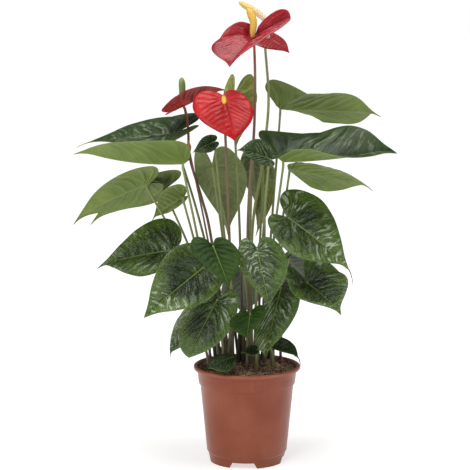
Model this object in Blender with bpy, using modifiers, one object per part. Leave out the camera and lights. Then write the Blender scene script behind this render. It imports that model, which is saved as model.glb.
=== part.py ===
"""Potted flamingo flower (anthurium) in a plastic nursery pot, as solids for Blender 4.5.

Every leaf is one piece with its stalk. A bloom is a stalk, a spathe and a spadix.
Lengths below are millimetres; places are measured from the pot's axis at table height,
with +X to the right, +Y to the back and +Z up. The scene itself is in metres.
"""
import math
from dataclasses import dataclass

import bmesh
import bpy
from mathutils import Matrix, Vector

MM = 0.001
SEAT_GAP = 0.3

# The pot's axis stands here, so that the whole plant's box is centred on the origin.
POT_AXIS = Vector((26.0, -20.0, 0.0))

# Pot
LIP_RADIUS = 85.0
POT_HEIGHT = 155.0
WALL = 1.5
LIP_HEIGHT = 6.0
LIP_INSIDE_RADIUS = 80.0
COLLAR_TOP_RADIUS = 79.5
COLLAR_FOOT_RADIUS = 77.0
COLLAR_HEIGHT = 28.0
BODY_TOP_RADIUS = 74.5
BODY_FOOT_RADIUS = 64.0
FOOT_STEP_HEIGHT = 16.0
FOOT_RADIUS = 60.0
FLOOR_HEIGHT = 11.0
POT_STEPS = 36
NOTCH_TOP_WIDTH = 34.0
NOTCH_FOOT_WIDTH = 44.0
NOTCH_HEIGHT = 9.0
NOTCH_TURNS = (-96.0, -6.0, 84.0, 174.0)
DRAIN_RADIUS = 5.0
DRAIN_CIRCLE_RADIUS = 46.0
DRAIN_HOLES = 8

# Soil
SOIL_TOP = 152.0
SOIL_BUMP = 2.2
ROOT_DEPTH = 22.0
SOIL_STEPS = 22

# Stalks
LEAF_STALK_RADIUS = 2.1
BLOOM_STALK_RADIUS = 2.5
STALK_SIDES = 6
STALK_STEPS = 7
BLOOM_STEPS = 10

# Spadices
SPADIX_SIDES = 8
SPADIX_RINGS = 12
FLORET_HEIGHT = 0.5

# Blades
BLADE_THICKNESS = 0.9
SPATHE_THICKNESS = 1.2
SPATHE_FLAT = 5.0
WIDEST_AT = 0.16

LEAF_GREEN = (0.045, 0.13, 0.025)
YOUNG_GREEN = (0.10, 0.26, 0.03)
UNDER_GREEN = (0.14, 0.22, 0.05)
SPATHE_RED = (0.50, 0.006, 0.012)
SPADIX_YELLOW = (0.80, 0.42, 0.08)
SPADIX_GREEN = (0.20, 0.27, 0.05)
STALK_BROWN = (0.12, 0.055, 0.03)
STALK_GREEN = (0.24, 0.27, 0.08)
TERRACOTTA = (0.27, 0.085, 0.045)
PEAT = (0.022, 0.014, 0.010)

# Half of a heart-shaped leaf: along the midrib from the junction to the tip, and out to the side.
LEAF_EDGE = (
    (1.0, 0.0), (0.86, 0.13), (0.66, 0.46), (0.42, 0.80), (0.16, 1.0),
    (-0.08, 0.90), (-0.23, 0.60), (-0.21, 0.24), (-0.04, 0.0),
)
# Half of a spathe, which is rounder and has a shorter tip.
SPATHE_EDGE = (
    (1.0, 0.0), (0.90, 0.16), (0.72, 0.52), (0.46, 0.86), (0.16, 1.0),
    (-0.12, 0.86), (-0.26, 0.55), (-0.22, 0.20), (-0.10, 0.0),
)


@dataclass
class Blade:
    """Where a blade's junction, tip and widest points lie, and how it bends between them.

    Arch, bulge, drip, lobes and wave are shares of the blade's length. Back stretches the
    lobes. Twist turns the outer part about the midrib and heel turns a lobe, both in
    degrees, with the left side going up. Plump below 1 makes the outer part fuller.
    """

    junction: tuple
    tip: tuple
    left: tuple
    right: tuple
    arch: float = 0.03
    bulge: float = 0.025
    drip: float = 0.05
    lobes: float = 0.0
    back: float = 1.0
    twist: float = 0.0
    heel_left: float = 0.0
    heel_right: float = 0.0
    wave: float = 0.01
    waves: float = 3.0
    plump: float = 1.0

    def frame(self):
        """Origin, midrib, left side, right side and upper normal, in millimetres."""
        start = Vector(self.junction)
        along = Vector(self.tip) - start
        widest = start + along * WIDEST_AT
        left = Vector(self.left) - widest
        right = Vector(self.right) - widest
        normal = along.cross(left).normalized() + right.cross(along).normalized()
        normal.normalize()
        raised = normal * along.length * self.arch * 4 * WIDEST_AT * (1 - WIDEST_AT)
        return start, along, left - raised, right - raised, normal

    def outline(self, edge):
        """The places on the margin, from the tip round the left side and back on the right."""
        half = [(u, v ** self.plump if u > WIDEST_AT else v) for u, v in edge]
        return half + [(u, -v) for u, v in reversed(half[1:-1])]

    def place(self, u, v, ring, turn, flat=0.0):
        """The point of the blade at u along and v across (left is positive)."""
        start, along, left, right, normal = self.frame()
        length = along.length
        if u < 0:
            u *= self.back
        side, heel = (left, self.heel_left) if v > 0 else (right, self.heel_right)
        roll = self.twist * max(0.0, (u - WIDEST_AT) / (1 - WIDEST_AT))
        roll += heel * min(1.0, max(0.0, -u / 0.25))
        side = Matrix.Rotation(math.radians(roll), 3, along) @ side
        rise = side.dot(normal)
        level = side - normal * rise
        lift = abs(v) * rise
        lift += length * self.arch * 4 * u * (1 - u)
        lift += length * self.bulge * 4 * abs(v) * (1 - abs(v))
        lift -= length * self.drip * max(0.0, (u - 0.8) / 0.2) ** 2
        lift += length * self.lobes * max(0.0, -u) / 0.25
        lift += length * self.wave * math.sin(math.tau * self.waves * turn) * ring ** 3
        offset = along * u + level * abs(v)
        if flat > 0:
            blend = min(1.0, max(0.0, (offset.length - flat) / (2 * flat)))
            lift *= blend * blend * (3 - 2 * blend)
        return start + offset + normal * lift


def material(name, colour, roughness, metallic=0.0):
    """A Principled material of one plain colour."""
    made = bpy.data.materials.new(name)
    made.use_nodes = True
    shader = made.node_tree.nodes["Principled BSDF"]
    shader.inputs["Base Color"].default_value = (*colour, 1.0)
    shader.inputs["Roughness"].default_value = roughness
    shader.inputs["Metallic"].default_value = metallic
    made.diffuse_color = (*colour, 1.0)
    return made


def to_scene(point):
    """Millimetres from the pot's axis to metres in the scene."""
    return (Vector(point) + POT_AXIS) * MM


def new_object(name, mesh, collection, look=None):
    """An object for a mesh, in the given collection."""
    made = bpy.data.objects.new(name, mesh)
    collection.objects.link(made)
    if look is not None:
        mesh.materials.append(look)
    return made


def apply_modifiers(thing):
    """Bake an object's modifiers into its own mesh."""
    graph = bpy.context.evaluated_depsgraph_get()
    graph.update()
    baked = bpy.data.meshes.new_from_object(thing.evaluated_get(graph))
    baked.name = thing.name
    thing.modifiers.clear()
    thing.data = baked
    return thing


def smooth_path(points, steps):
    """A Catmull-Rom curve through the points, at even steps of their chord length."""
    spots = [Vector(point) for point in points]
    padded = [2 * spots[0] - spots[1]] + spots + [2 * spots[-1] - spots[-2]]
    lengths = [(b - a).length for a, b in zip(spots, spots[1:])]
    total = sum(lengths)
    path = []
    for step in range(steps + 1):
        reach = total * step / steps
        span = 0
        while span < len(lengths) - 1 and reach > lengths[span]:
            reach -= lengths[span]
            span += 1
        t = min(1.0, reach / lengths[span])
        p0, p1, p2, p3 = padded[span:span + 4]
        path.append(0.5 * (
            2 * p1 + (p2 - p0) * t + (2 * p0 - 5 * p1 + 4 * p2 - p3) * t * t
            + (3 * p1 - 3 * p2 + p3 - p0) * t ** 3
        ))
    return path


def stalk_route(foot, end, last, lean=1.4, via=()):
    """Points up a stalk: straight out of the soil, then leaning over to its end."""
    ground = soil_height(*foot)
    low = Vector((foot[0], foot[1], ground - ROOT_DEPTH))
    neck = Vector((foot[0], foot[1], ground + 6.0))
    top = Vector(end)
    route = [low, neck]
    if via:
        route += [Vector(point) for point in via]
    else:
        for share in (0.33, 0.68):
            height = neck.z + (top.z - neck.z) * share
            spread = share ** lean
            route.append(Vector((
                foot[0] + (top.x - foot[0]) * spread,
                foot[1] + (top.y - foot[1]) * spread,
                height,
            )))
    return route + [Vector(last), top]


def tube(name, route, radii, steps, sides, collection, look=None):
    """A closed tube along a smooth path, with a straight run at each end."""
    path = [route[0]] + smooth_path(route[1:-1], steps) + [route[-1]]
    curve = bpy.data.curves.new(name, "CURVE")
    curve.dimensions = "3D"
    curve.bevel_depth = MM
    curve.bevel_resolution = max(0, sides // 2 - 2)
    curve.use_fill_caps = True
    spline = curve.splines.new("POLY")
    spline.points.add(len(path) - 1)
    reach = len(path) - 1
    for index, point in enumerate(path):
        spline.points[index].co = (*to_scene(point), 1.0)
        share = index / reach
        low, high = radii
        spline.points[index].radius = low + (high - low) * share
    drawn = bpy.data.objects.new(name, curve)
    collection.objects.link(drawn)
    graph = bpy.context.evaluated_depsgraph_get()
    graph.update()
    mesh = bpy.data.meshes.new_from_object(drawn.evaluated_get(graph))
    mesh.name = name
    bpy.data.objects.remove(drawn)
    bpy.data.curves.remove(curve)
    shape = bmesh.new()
    shape.from_mesh(mesh)
    bmesh.ops.remove_doubles(shape, verts=shape.verts, dist=1e-6)
    bmesh.ops.triangulate(shape, faces=shape.faces)
    shape.to_mesh(mesh)
    shape.free()
    mesh.materials.clear()
    return new_object(name, mesh, collection, look)


def blade_solid(name, blade, edge, rings, thickness, collection, look=None, flat=0.0):
    """A leaf-shaped solid: a fan of rings from near the junction to the edge, given thickness."""
    half = len(edge) - 1
    outline = blade.outline(edge)
    count = len(outline)
    centre = (0.0, 0.0) if flat > 0 else (0.10, 0.0)
    shape = bmesh.new()
    middle = shape.verts.new(to_scene(blade.place(*centre, 0.0, 0.0, flat)))
    rows = []
    for ring in range(1, rings + 1):
        row = []
        for index, (u, v) in enumerate(outline):
            turn = index / count
            share = ring / rings
            if flat > 0:
                reach = (blade.place(u, v, 0.0, 0.0, 1e6) - blade.place(0, 0, 0, 0)).length
                share = flat / reach + (1 - flat / reach) * (ring - 1) / (rings - 1)
            spot = (centre[0] + (u - centre[0]) * share, v * share)
            row.append(shape.verts.new(to_scene(blade.place(*spot, share, turn, flat))))
        rows.append(row)
    for index in range(count):
        after = (index + 1) % count
        shape.faces.new((middle, rows[0][index], rows[0][after]))
        for inner, outer in zip(rows, rows[1:]):
            corners = (inner[index], outer[index], outer[after], inner[after])
            if index < half:
                shape.faces.new((corners[0], corners[1], corners[2]))
                shape.faces.new((corners[0], corners[2], corners[3]))
            else:
                shape.faces.new((corners[0], corners[1], corners[3]))
                shape.faces.new((corners[1], corners[2], corners[3]))
    mesh = bpy.data.meshes.new(name)
    shape.to_mesh(mesh)
    shape.free()
    made = new_object(name, mesh, collection, look)
    thicken = made.modifiers.new("Thickness", "SOLIDIFY")
    thicken.thickness = thickness * MM
    thicken.offset = -1.0
    return apply_modifiers(made)


def join(first, second, name):
    """One solid from two that cross."""
    joiner = first.modifiers.new("Join", "BOOLEAN")
    joiner.operation = "UNION"
    joiner.solver = "MANIFOLD"
    joiner.object = second
    apply_modifiers(first)
    bpy.data.objects.remove(second)
    first.name = name
    return first


@dataclass
class Leaf:
    """A leaf: its name, where its stalk leaves the soil, and its blade."""

    name: str
    foot: tuple
    blade: Blade
    look: str = "leaf"
    lean: float = 1.4
    via: tuple = ()
    rings: int = 3


@dataclass
class Bloom:
    """A bloom: where its stalk leaves the soil, its spathe and the route of its spadix."""

    name: str
    foot: tuple
    blade: Blade
    spadix: tuple
    spadix_look: str = "spadix"
    stalk_look: str = "brown stalk"
    spadix_radius: float = 5.5
    lean: float = 1.2
    via: tuple = ()


LEAVES = (
    Leaf("leaf_left_top", (-32, 18), Blade((-118, 60, 520), (-273, 50, 506),
         (-152, 0, 505), (-148, 125, 539), arch=-0.01, lobes=0.05, back=1.25, plump=1.35)),
    Leaf("leaf_left_near", (-40, -8), Blade((-99, -40, 482), (-268, -30, 504),
         (-147, -95, 524), (-145, 20, 503), arch=-0.05, back=0.45), "underside", lean=1.0),
    Leaf("leaf_left_back", (-46, 8), Blade((-159, 30, 441), (-284, 100, 374),
         (-197, 5, 463), (-181, 80, 400), back=0.9), "underside"),
    Leaf("leaf_left_behind", (-42, 20), Blade((-133, 60, 431), (-259, 130, 370),
         (-157, 30, 457), (-158, 110, 399)), "underside"),
    Leaf("leaf_left_small", (-50, -2), Blade((-101, 20, 422), (-153, 65, 382),
         (-127, -5, 440), (-123, 50, 394)), "underside"),
    Leaf("leaf_left_low", (-58, -12), Blade((-116, -20, 343), (-232, -60, 325),
         (-161, -75, 312), (-143, 15, 387), back=0.6), lean=2.2),
    Leaf("leaf_front_left", (-44, -26), Blade((-69, -55, 320), (-155, -130, 259),
         (-56, -105, 282), (-119, -80, 350), plump=0.75)),
    Leaf("leaf_front_heart", (-30, -30), Blade((-52, -95, 360), (-27, -135, 302),
         (-11, -105, 350), (-84, -105, 353)), "young leaf",
         via=((-26, -40, 240), (-27, -62, 305))),
    Leaf("leaf_front_middle", (12, -24), Blade((15, -80, 353), (34, -115, 267),
         (62, -85, 334), (-13, -85, 331))),
    Leaf("leaf_right_near", (42, 0), Blade((65, -40, 396), (158, -75, 323),
         (117, -10, 422), (67, -80, 346), back=1.15), lean=3.0),
    Leaf("leaf_right_low", (54, 8), Blade((93, -45, 296), (143, -105, 259),
         (153, -55, 309), (75, -85, 280), lobes=0.2, back=1.5), lean=3.5),
    Leaf("leaf_rim_left", (-36, -40), Blade((-47, -60, 270), (-92, -78, 183),
         (-25, -80, 230), (-98, -62, 236), back=1.3, plump=0.6)),
    Leaf("leaf_rim_behind", (-60, -24), Blade((-88, -24, 250), (-125, -30, 174),
         (-84, -40, 208), (-112, 12, 224))),
    Leaf("leaf_rim_heart", (0, -34), Blade((4, -85, 253), (-1, -105, 217),
         (27, -88, 257), (-28, -88, 238)), "young leaf", lean=3.0),
    Leaf("leaf_rim_right", (16, -32), Blade((53, -35, 285), (27, -55, 179),
         (79, -58, 257), (12, -50, 224), plump=0.85), lean=2.5),
    Leaf("leaf_over_rim", (40, -20), Blade((39, -26, 192), (81, -40, 177),
         (62, -4, 199), (53, -52, 188), plump=0.7)),
    Leaf("leaf_in_pot", (-22, -48), Blade((-24, -56, 179), (-59, -84, 170),
         (-31, -90, 165), (-47, -62, 184), plump=0.7)),
    Leaf("leaf_seedling", (14, -40), Blade((14, -71, 194), (-10, -82, 193),
         (7, -89, 189), (7, -67, 201)), rings=2),
    Leaf("leaf_middle_back", (-22, 24), Blade((-54, 30, 470), (-29, 90, 352),
         (-80, 55, 448), (0, 50, 452), back=1.25), "underside"),
    Leaf("leaf_left_dark", (-14, 14), Blade((-52, 2, 511), (-86, -2, 495),
         (-58, -8, 496), (-66, 6, 520)), rings=2, lean=1.0),
    Leaf("leaf_middle_dark", (18, 4), Blade((34, -104, 494), (-16, -112, 510),
         (15, -122, 490), (19, -98, 524), arch=0.06), rings=2, lean=1.9),
    Leaf("leaf_back_high", (2, 28), Blade((9, 95, 476), (16, 150, 393),
         (-11, 112, 452), (42, 112, 452)), "underside"),
    Leaf("leaf_back_narrow", (12, 26), Blade((30, 44, 475), (44, 60, 427),
         (23, 56, 461), (45, 36, 463)), "underside"),
    Leaf("leaf_back_middle", (26, 30), Blade((31, 86, 435), (17, 128, 345),
         (15, 110, 406), (45, 100, 412)), "underside"),
    Leaf("leaf_behind_bloom", (-6, 12), Blade((-21, 15, 580), (-17, 55, 496),
         (-36, 35, 576), (16, 25, 578), lobes=0.3), "underside"),
    Leaf("leaf_right_top", (24, 16), Blade((54, 85, 558), (218, 105, 551),
         (155, 150, 531), (123, 30, 584), arch=0.0, lobes=0.2, twist=-20), "underside", lean=1.0),
    Leaf("leaf_right_wide", (28, -6), Blade((55, -40, 485), (230, -45, 507),
         (117, 30, 526), (96, -95, 508), arch=-0.03, lobes=0.17, twist=50, heel_left=-20,
         heel_right=62, back=1.1), rings=4),
    Leaf("leaf_right_under", (36, 12), Blade((67, 5, 469), (203, 60, 435),
         (126, 72, 428), (119, -30, 475), arch=0.0, back=0.4), "underside"),
    Leaf("leaf_rear_left", (-36, 34), Blade((-54, 52, 320), (-128, 168, 236),
         (-112, 112, 302), (-60, 116, 258))),
    Leaf("leaf_rear_right", (36, 34), Blade((64, 50, 318), (128, 165, 240),
         (62, 118, 262), (116, 102, 305))),
    Leaf("leaf_rear_low", (10, 42), Blade((-4, 86, 290), (-6, 176, 200),
         (-42, 122, 252), (32, 122, 252))),
)

BLOOMS = (
    Bloom("bloom_top", (6, -4), Blade((9, -20, 675), (-28, -75, 635),
          (64, -8, 700), (-51, -30, 667), lobes=0.24),
          ((0, 0, 24), (-8, 6, 44)), spadix_radius=6.0,
          via=((1, -12, 340), (4, -28, 450), (10, -38, 525), (12, -34, 600))),
    Bloom("bloom_second", (8, 14), Blade((31, 30, 672), (67, 10, 652),
          (46, 70, 679), (15, -4, 662)),
          ((-5, 2, 31), (-44, 6, 56)), stalk_look="green stalk",
          via=((8, 16, 360), (24, 26, 474), (34, 31, 570))),
    Bloom("bloom_left", (-28, 10), Blade((-102, 52, 565), (-32, 72, 591),
          (-89, 100, 569), (-99, 26, 589), back=1.7),
          ((-1, 4, 22), (-2, 5, 44)), "green spadix",
          via=((-57, 25, 355), (-72, 38, 417), (-91, 52, 480), (-94, 60, 527))),
    Bloom("bloom_front", (-22, 0), Blade((-36, -60, 582), (-19, -95, 522),
          (8, -68, 569), (-83, -68, 567)),
          ((0, -20, 2), (1, -44, -4))),
)

BUD_FOOT = (-34, 2)
BUD_BASE = (-91, 30, 494)
BUD_TIP = (-94, 27, 514)
BUD_RADIUS = 4.0


def soil_height(x, y):
    """How high the soil lies: a low mound where the crowns stand, and shallow bumps."""
    mound = 8.0 * math.exp(-(x * x + y * y) / (2 * 34.0 ** 2))
    bumps = math.sin(x * 0.21 + 1.3) * math.cos(y * 0.17 - 0.6)
    bumps += 0.6 * math.sin(x * 0.11 - y * 0.27 + 2.0)
    return SOIL_TOP - 4.0 + mound + SOIL_BUMP * 0.5 * bumps


def turned(name, profile, steps, collection, look):
    """A solid turned around the pot's axis from a profile of radius and height."""
    mesh = bpy.data.meshes.new(name)
    points = [to_scene((radius, 0.0, height)) - to_scene((0, 0, 0)) for radius, height in profile]
    edges = [(index, index + 1) for index in range(len(points) - 1)]
    mesh.from_pydata(points, edges, [])
    made = new_object(name, mesh, collection, look)
    made.location = to_scene((0, 0, 0))
    spin = made.modifiers.new("Turn", "SCREW")
    spin.steps = steps
    spin.render_steps = steps
    spin.use_merge_vertices = True
    spin.merge_threshold = 0.00001
    spin.use_smooth_shade = False
    spin.use_normal_calculate = True
    return made


def pot_inside(shrink):
    """The inner wall from the floor up, as radius and height, made smaller by a gap."""
    return [
        (59.0 - shrink, FLOOR_HEIGHT + shrink),
        (59.6 - shrink, FOOT_STEP_HEIGHT - 0.5),
        (BODY_FOOT_RADIUS - WALL - shrink, FOOT_STEP_HEIGHT + 3.0),
        (BODY_TOP_RADIUS - WALL - shrink, POT_HEIGHT - 29.0),
        (COLLAR_FOOT_RADIUS - WALL - shrink, POT_HEIGHT - 27.0),
    ]


def make_cutter(name, shape, cutters):
    """A hidden cutter made of every closed body in a bmesh."""
    for corner in shape.verts:
        corner.co = to_scene(corner.co)
    mesh = bpy.data.meshes.new(name)
    shape.to_mesh(mesh)
    shape.free()
    made = new_object(name, mesh, cutters)
    made.hide_render = True
    made.display_type = "WIRE"
    return made


def cut(thing, cutter):
    """Take a cutter out of a solid."""
    carve = thing.modifiers.new(cutter.name, "BOOLEAN")
    carve.operation = "DIFFERENCE"
    carve.solver = "EXACT"
    carve.object = cutter


def make_pot(collection, cutters, look):
    """The pot: foot ring, body, collar and rolled lip, with notches and drain holes below."""
    top = POT_HEIGHT
    profile = [
        (0.0, FLOOR_HEIGHT - WALL),
        (FOOT_RADIUS - 1.8, FLOOR_HEIGHT - WALL),
        (FOOT_RADIUS - 1.8, 0.0),
        (FOOT_RADIUS, 0.0),
        (FOOT_RADIUS + 1.3, FOOT_STEP_HEIGHT - 2.0),
        (BODY_FOOT_RADIUS, FOOT_STEP_HEIGHT + 1.0),
        (BODY_TOP_RADIUS, top - COLLAR_HEIGHT - 2.0),
        (COLLAR_FOOT_RADIUS, top - COLLAR_HEIGHT),
        (COLLAR_TOP_RADIUS, top - LIP_HEIGHT),
        (LIP_RADIUS - 1.0, top - LIP_HEIGHT),
        (LIP_RADIUS, top - LIP_HEIGHT + 1.2),
        (LIP_RADIUS, top - 2.0),
        (LIP_RADIUS - 1.5, top),
        (LIP_INSIDE_RADIUS + 0.6, top),
        (COLLAR_TOP_RADIUS - WALL, top - LIP_HEIGHT + 1.0),
    ]
    profile += list(reversed(pot_inside(0.0)))
    profile.append((0.0, FLOOR_HEIGHT))
    pot = turned("pot", profile, POT_STEPS, collection, look)

    notches = bmesh.new()
    for turn in NOTCH_TURNS:
        corners = bmesh.ops.create_cube(notches, size=1.0)["verts"]
        for corner in corners:
            upper = corner.co.z > 0
            width = NOTCH_TOP_WIDTH if upper else NOTCH_FOOT_WIDTH + 2.0
            corner.co = Vector((
                FOOT_RADIUS + (8.0 if corner.co.x > 0 else -12.0),
                math.copysign(width / 2, corner.co.y),
                NOTCH_HEIGHT if upper else -2.0,
            ))
        turned_by = Matrix.Rotation(math.radians(turn), 3, "Z")
        bmesh.ops.rotate(notches, verts=corners, cent=(0, 0, 0), matrix=turned_by)
    cut(pot, make_cutter("foot_notches", notches, cutters))

    drains = bmesh.new()
    for index in range(DRAIN_HOLES):
        turn = math.tau * (index + 0.5) / DRAIN_HOLES
        centre = Vector((math.cos(turn), math.sin(turn), 0.0)) * DRAIN_CIRCLE_RADIUS
        centre.z = FLOOR_HEIGHT
        bmesh.ops.create_cone(
            drains, cap_ends=True, segments=8, radius1=DRAIN_RADIUS, radius2=DRAIN_RADIUS,
            depth=8.0, matrix=Matrix.Translation(centre),
        )
    cut(pot, make_cutter("drain_holes", drains, cutters))
    return pot


def make_soil(collection, cutters, feet, look):
    """The peat that fills the pot, with a plain hole for every stalk."""
    shrink = SEAT_GAP + BODY_TOP_RADIUS * (1 - math.cos(math.pi / POT_STEPS))
    wall = pot_inside(shrink)
    wall[0] = (wall[0][0], FLOOR_HEIGHT + SEAT_GAP)
    edge_height = SOIL_TOP - 5.0
    edge_radius = COLLAR_TOP_RADIUS - WALL - shrink - 1.0
    profile = [(0.0, FLOOR_HEIGHT + SEAT_GAP)] + wall + [(edge_radius, edge_height)]
    profile += [(radius, SOIL_TOP) for radius in (70.0, 58.0, 42.0, 24.0)]
    profile.append((0.0, SOIL_TOP))
    soil = turned("soil", profile, SOIL_STEPS, collection, look)
    apply_modifiers(soil)
    for corner in soil.data.vertices:
        spot = corner.co / MM
        if spot.z > SOIL_TOP - 0.1:
            corner.co.z = soil_height(spot.x, spot.y) * MM

    holes = bmesh.new()
    for x, y, radius in feet:
        low = soil_height(x, y) - ROOT_DEPTH - SEAT_GAP
        wide = (radius + SEAT_GAP) / math.cos(math.pi / STALK_SIDES)
        bmesh.ops.create_cone(
            holes, cap_ends=True, segments=STALK_SIDES, radius1=wide, radius2=wide,
            depth=60.0, matrix=Matrix.Translation((x, y, low + 30.0)),
        )
    cut(soil, make_cutter("stalk_holes", holes, cutters))
    return soil


def make_leaf(leaf, collection, look):
    """One leaf: its blade grown together with its stalk."""
    blade = blade_solid(leaf.name, leaf.blade, LEAF_EDGE, leaf.rings, BLADE_THICKNESS,
                        collection, look)
    normal = leaf.blade.frame()[4]
    end = Vector(leaf.blade.place(0.0, 0.0, 0.0, 0.0)) + normal * 0.6
    route = stalk_route(leaf.foot, end, end - normal * 6.0, leaf.lean, leaf.via)
    radii = (LEAF_STALK_RADIUS * 1.15, LEAF_STALK_RADIUS * 0.95)
    stalk = tube("stalk", route, radii, STALK_STEPS, STALK_SIDES, collection)
    return join(blade, stalk, leaf.name)


def make_bloom(bloom, collection, looks):
    """A bloom: its stalk, its spathe and its spadix, a seat's gap apart."""
    normal = bloom.blade.frame()[4]
    root = Vector(bloom.blade.place(0.0, 0.0, 0.0, 0.0, SPATHE_FLAT))
    blade_solid(bloom.name + "_spathe", bloom.blade, SPATHE_EDGE, 5, SPATHE_THICKNESS,
                collection, looks["spathe"], SPATHE_FLAT)
    end = root - normal * (SPATHE_THICKNESS + SEAT_GAP)
    route = stalk_route(bloom.foot, end, end - normal * 9.0, bloom.lean, bloom.via)
    radii = (BLOOM_STALK_RADIUS * 1.1, BLOOM_STALK_RADIUS * 0.9)
    tube(bloom.name + "_stalk", route, radii, BLOOM_STEPS, STALK_SIDES, collection,
         looks[bloom.stalk_look])
    seat = root + normal * SEAT_GAP
    points = [seat, seat + normal * 5.0] + [root + Vector(step) for step in bloom.spadix]
    make_spadix(bloom.name + "_spadix", points, bloom.spadix_radius, collection,
                looks[bloom.spadix_look])


def make_spadix(name, points, radius, collection, look):
    """A tapering finger of small raised florets around a bent line."""
    path = smooth_path(points, SPADIX_RINGS)
    shape = bmesh.new()
    rows = []
    across = None
    for index, spot in enumerate(path):
        ahead = path[min(index + 1, SPADIX_RINGS)] - path[max(index - 1, 0)]
        ahead.normalize()
        if across is None:
            across = ahead.orthogonal().normalized()
        if index == 0:
            ahead = (Vector(points[1]) - Vector(points[0])).normalized()
        across = (across - ahead * across.dot(ahead)).normalized()
        other = ahead.cross(across)
        share = index / SPADIX_RINGS
        width = radius * (0.62 + 0.38 * math.sin(math.pi * min(1.0, share * 1.35) * 0.5))
        width *= math.sqrt(max(0.02, 1 - max(0.0, (share - 0.72) / 0.28) ** 2.2))
        row = []
        for side in range(SPADIX_SIDES):
            turn = math.tau * side / SPADIX_SIDES
            raised = FLORET_HEIGHT if (side + index) % 2 else 0.0
            reach = width + (raised if 0 < index < SPADIX_RINGS else 0.0)
            row.append(shape.verts.new(to_scene(
                spot + (across * math.cos(turn) + other * math.sin(turn)) * reach
            )))
        rows.append(row)
    shape.faces.new(list(reversed(rows[0])))
    shape.faces.new(rows[-1])
    for low, high in zip(rows, rows[1:]):
        for side in range(SPADIX_SIDES):
            after = (side + 1) % SPADIX_SIDES
            shape.faces.new((low[side], low[after], high[after], high[side]))
    bmesh.ops.triangulate(shape, faces=shape.faces)
    mesh = bpy.data.meshes.new(name)
    shape.to_mesh(mesh)
    shape.free()
    return new_object(name, mesh, collection, look)


def make_bud(collection, looks):
    """A young bloom, still a rolled red bud, on its own stalk."""
    end = Vector(BUD_BASE)
    tip = Vector(BUD_TIP)
    ahead = (tip - end).normalized()
    tube("bud_stalk", stalk_route(BUD_FOOT, end, end - ahead * 6.0, 1.3), (2.0, 1.4),
         STALK_STEPS, STALK_SIDES, collection, looks["brown stalk"])
    seat = end + ahead * SEAT_GAP
    make_spadix("bud", [seat, (seat + tip) / 2, tip], BUD_RADIUS, collection, looks["spathe"])


def main():
    """Build the whole plant."""
    for thing in list(bpy.data.objects):
        bpy.data.objects.remove(thing, do_unlink=True)
    scene = bpy.context.scene
    plant = bpy.data.collections.new("flamingo_flower")
    cutters = bpy.data.collections.new("cutters")
    scene.collection.children.link(plant)
    scene.collection.children.link(cutters)
    looks = {
        "leaf": material("leaf", LEAF_GREEN, 0.3),
        "young leaf": material("young_leaf", YOUNG_GREEN, 0.35),
        "underside": material("leaf_underside", UNDER_GREEN, 0.5),
        "spathe": material("spathe", SPATHE_RED, 0.25),
        "spadix": material("spadix", SPADIX_YELLOW, 0.5),
        "green spadix": material("green_spadix", SPADIX_GREEN, 0.5),
        "brown stalk": material("brown_stalk", STALK_BROWN, 0.45),
        "green stalk": material("green_stalk", STALK_GREEN, 0.45),
        "pot": material("terracotta_plastic", TERRACOTTA, 0.45),
        "soil": material("peat", PEAT, 0.95),
    }
    make_pot(plant, cutters, looks["pot"])
    feet = [(*leaf.foot, LEAF_STALK_RADIUS * 1.15) for leaf in LEAVES]
    feet += [(*bloom.foot, BLOOM_STALK_RADIUS * 1.1) for bloom in BLOOMS]
    feet.append((*BUD_FOOT, 2.0))
    make_soil(plant, cutters, feet, looks["soil"])
    for leaf in LEAVES:
        make_leaf(leaf, plant, looks[leaf.look])
    for bloom in BLOOMS:
        make_bloom(bloom, plant, looks)
    make_bud(plant, looks)


main()
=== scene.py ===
"""Potted flamingo flower (anthurium) in a plastic nursery pot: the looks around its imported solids.

Every piece follows the same lines as the solid that it stands for. Places are written in
millimetres from the pot's axis at table height, with +X to the right, +Y to the back and
+Z up, and the scene itself is in metres.
"""
import logging
import math
from collections.abc import Sequence
from dataclasses import dataclass
from enum import Enum
from functools import cache

import bpy
import numpy as np
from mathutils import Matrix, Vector, noise

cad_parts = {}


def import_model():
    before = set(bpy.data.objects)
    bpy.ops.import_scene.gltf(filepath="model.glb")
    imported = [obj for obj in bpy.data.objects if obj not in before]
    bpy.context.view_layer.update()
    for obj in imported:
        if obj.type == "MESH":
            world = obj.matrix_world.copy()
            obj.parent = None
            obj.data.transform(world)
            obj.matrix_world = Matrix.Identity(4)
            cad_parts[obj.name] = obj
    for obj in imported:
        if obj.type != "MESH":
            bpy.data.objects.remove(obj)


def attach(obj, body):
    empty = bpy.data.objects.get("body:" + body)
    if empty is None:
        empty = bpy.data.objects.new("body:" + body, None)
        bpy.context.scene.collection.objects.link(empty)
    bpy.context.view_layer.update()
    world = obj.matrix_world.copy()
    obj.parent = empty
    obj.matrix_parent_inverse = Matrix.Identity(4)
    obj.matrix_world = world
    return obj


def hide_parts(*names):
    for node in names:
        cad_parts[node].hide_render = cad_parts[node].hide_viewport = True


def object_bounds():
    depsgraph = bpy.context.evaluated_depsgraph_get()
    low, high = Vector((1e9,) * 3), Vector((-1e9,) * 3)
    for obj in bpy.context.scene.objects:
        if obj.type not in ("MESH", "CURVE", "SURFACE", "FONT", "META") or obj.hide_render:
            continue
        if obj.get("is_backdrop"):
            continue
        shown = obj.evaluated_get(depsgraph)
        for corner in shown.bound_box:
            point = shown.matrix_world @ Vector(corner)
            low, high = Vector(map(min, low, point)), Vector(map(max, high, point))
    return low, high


LOG = logging.getLogger("flamingo_flower")

Colour = tuple[float, float, float]
Point = tuple[float, float, float]

MM = 0.001
SEED = 11
BODY = "root"

POT_AXIS = np.array((26.0, -20.0, 0.0))
POT_HEIGHT = 155.0
SOIL_TOP = 152.0
SOIL_BUMP = 2.2
ROOT_DEPTH = 22.0

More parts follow.
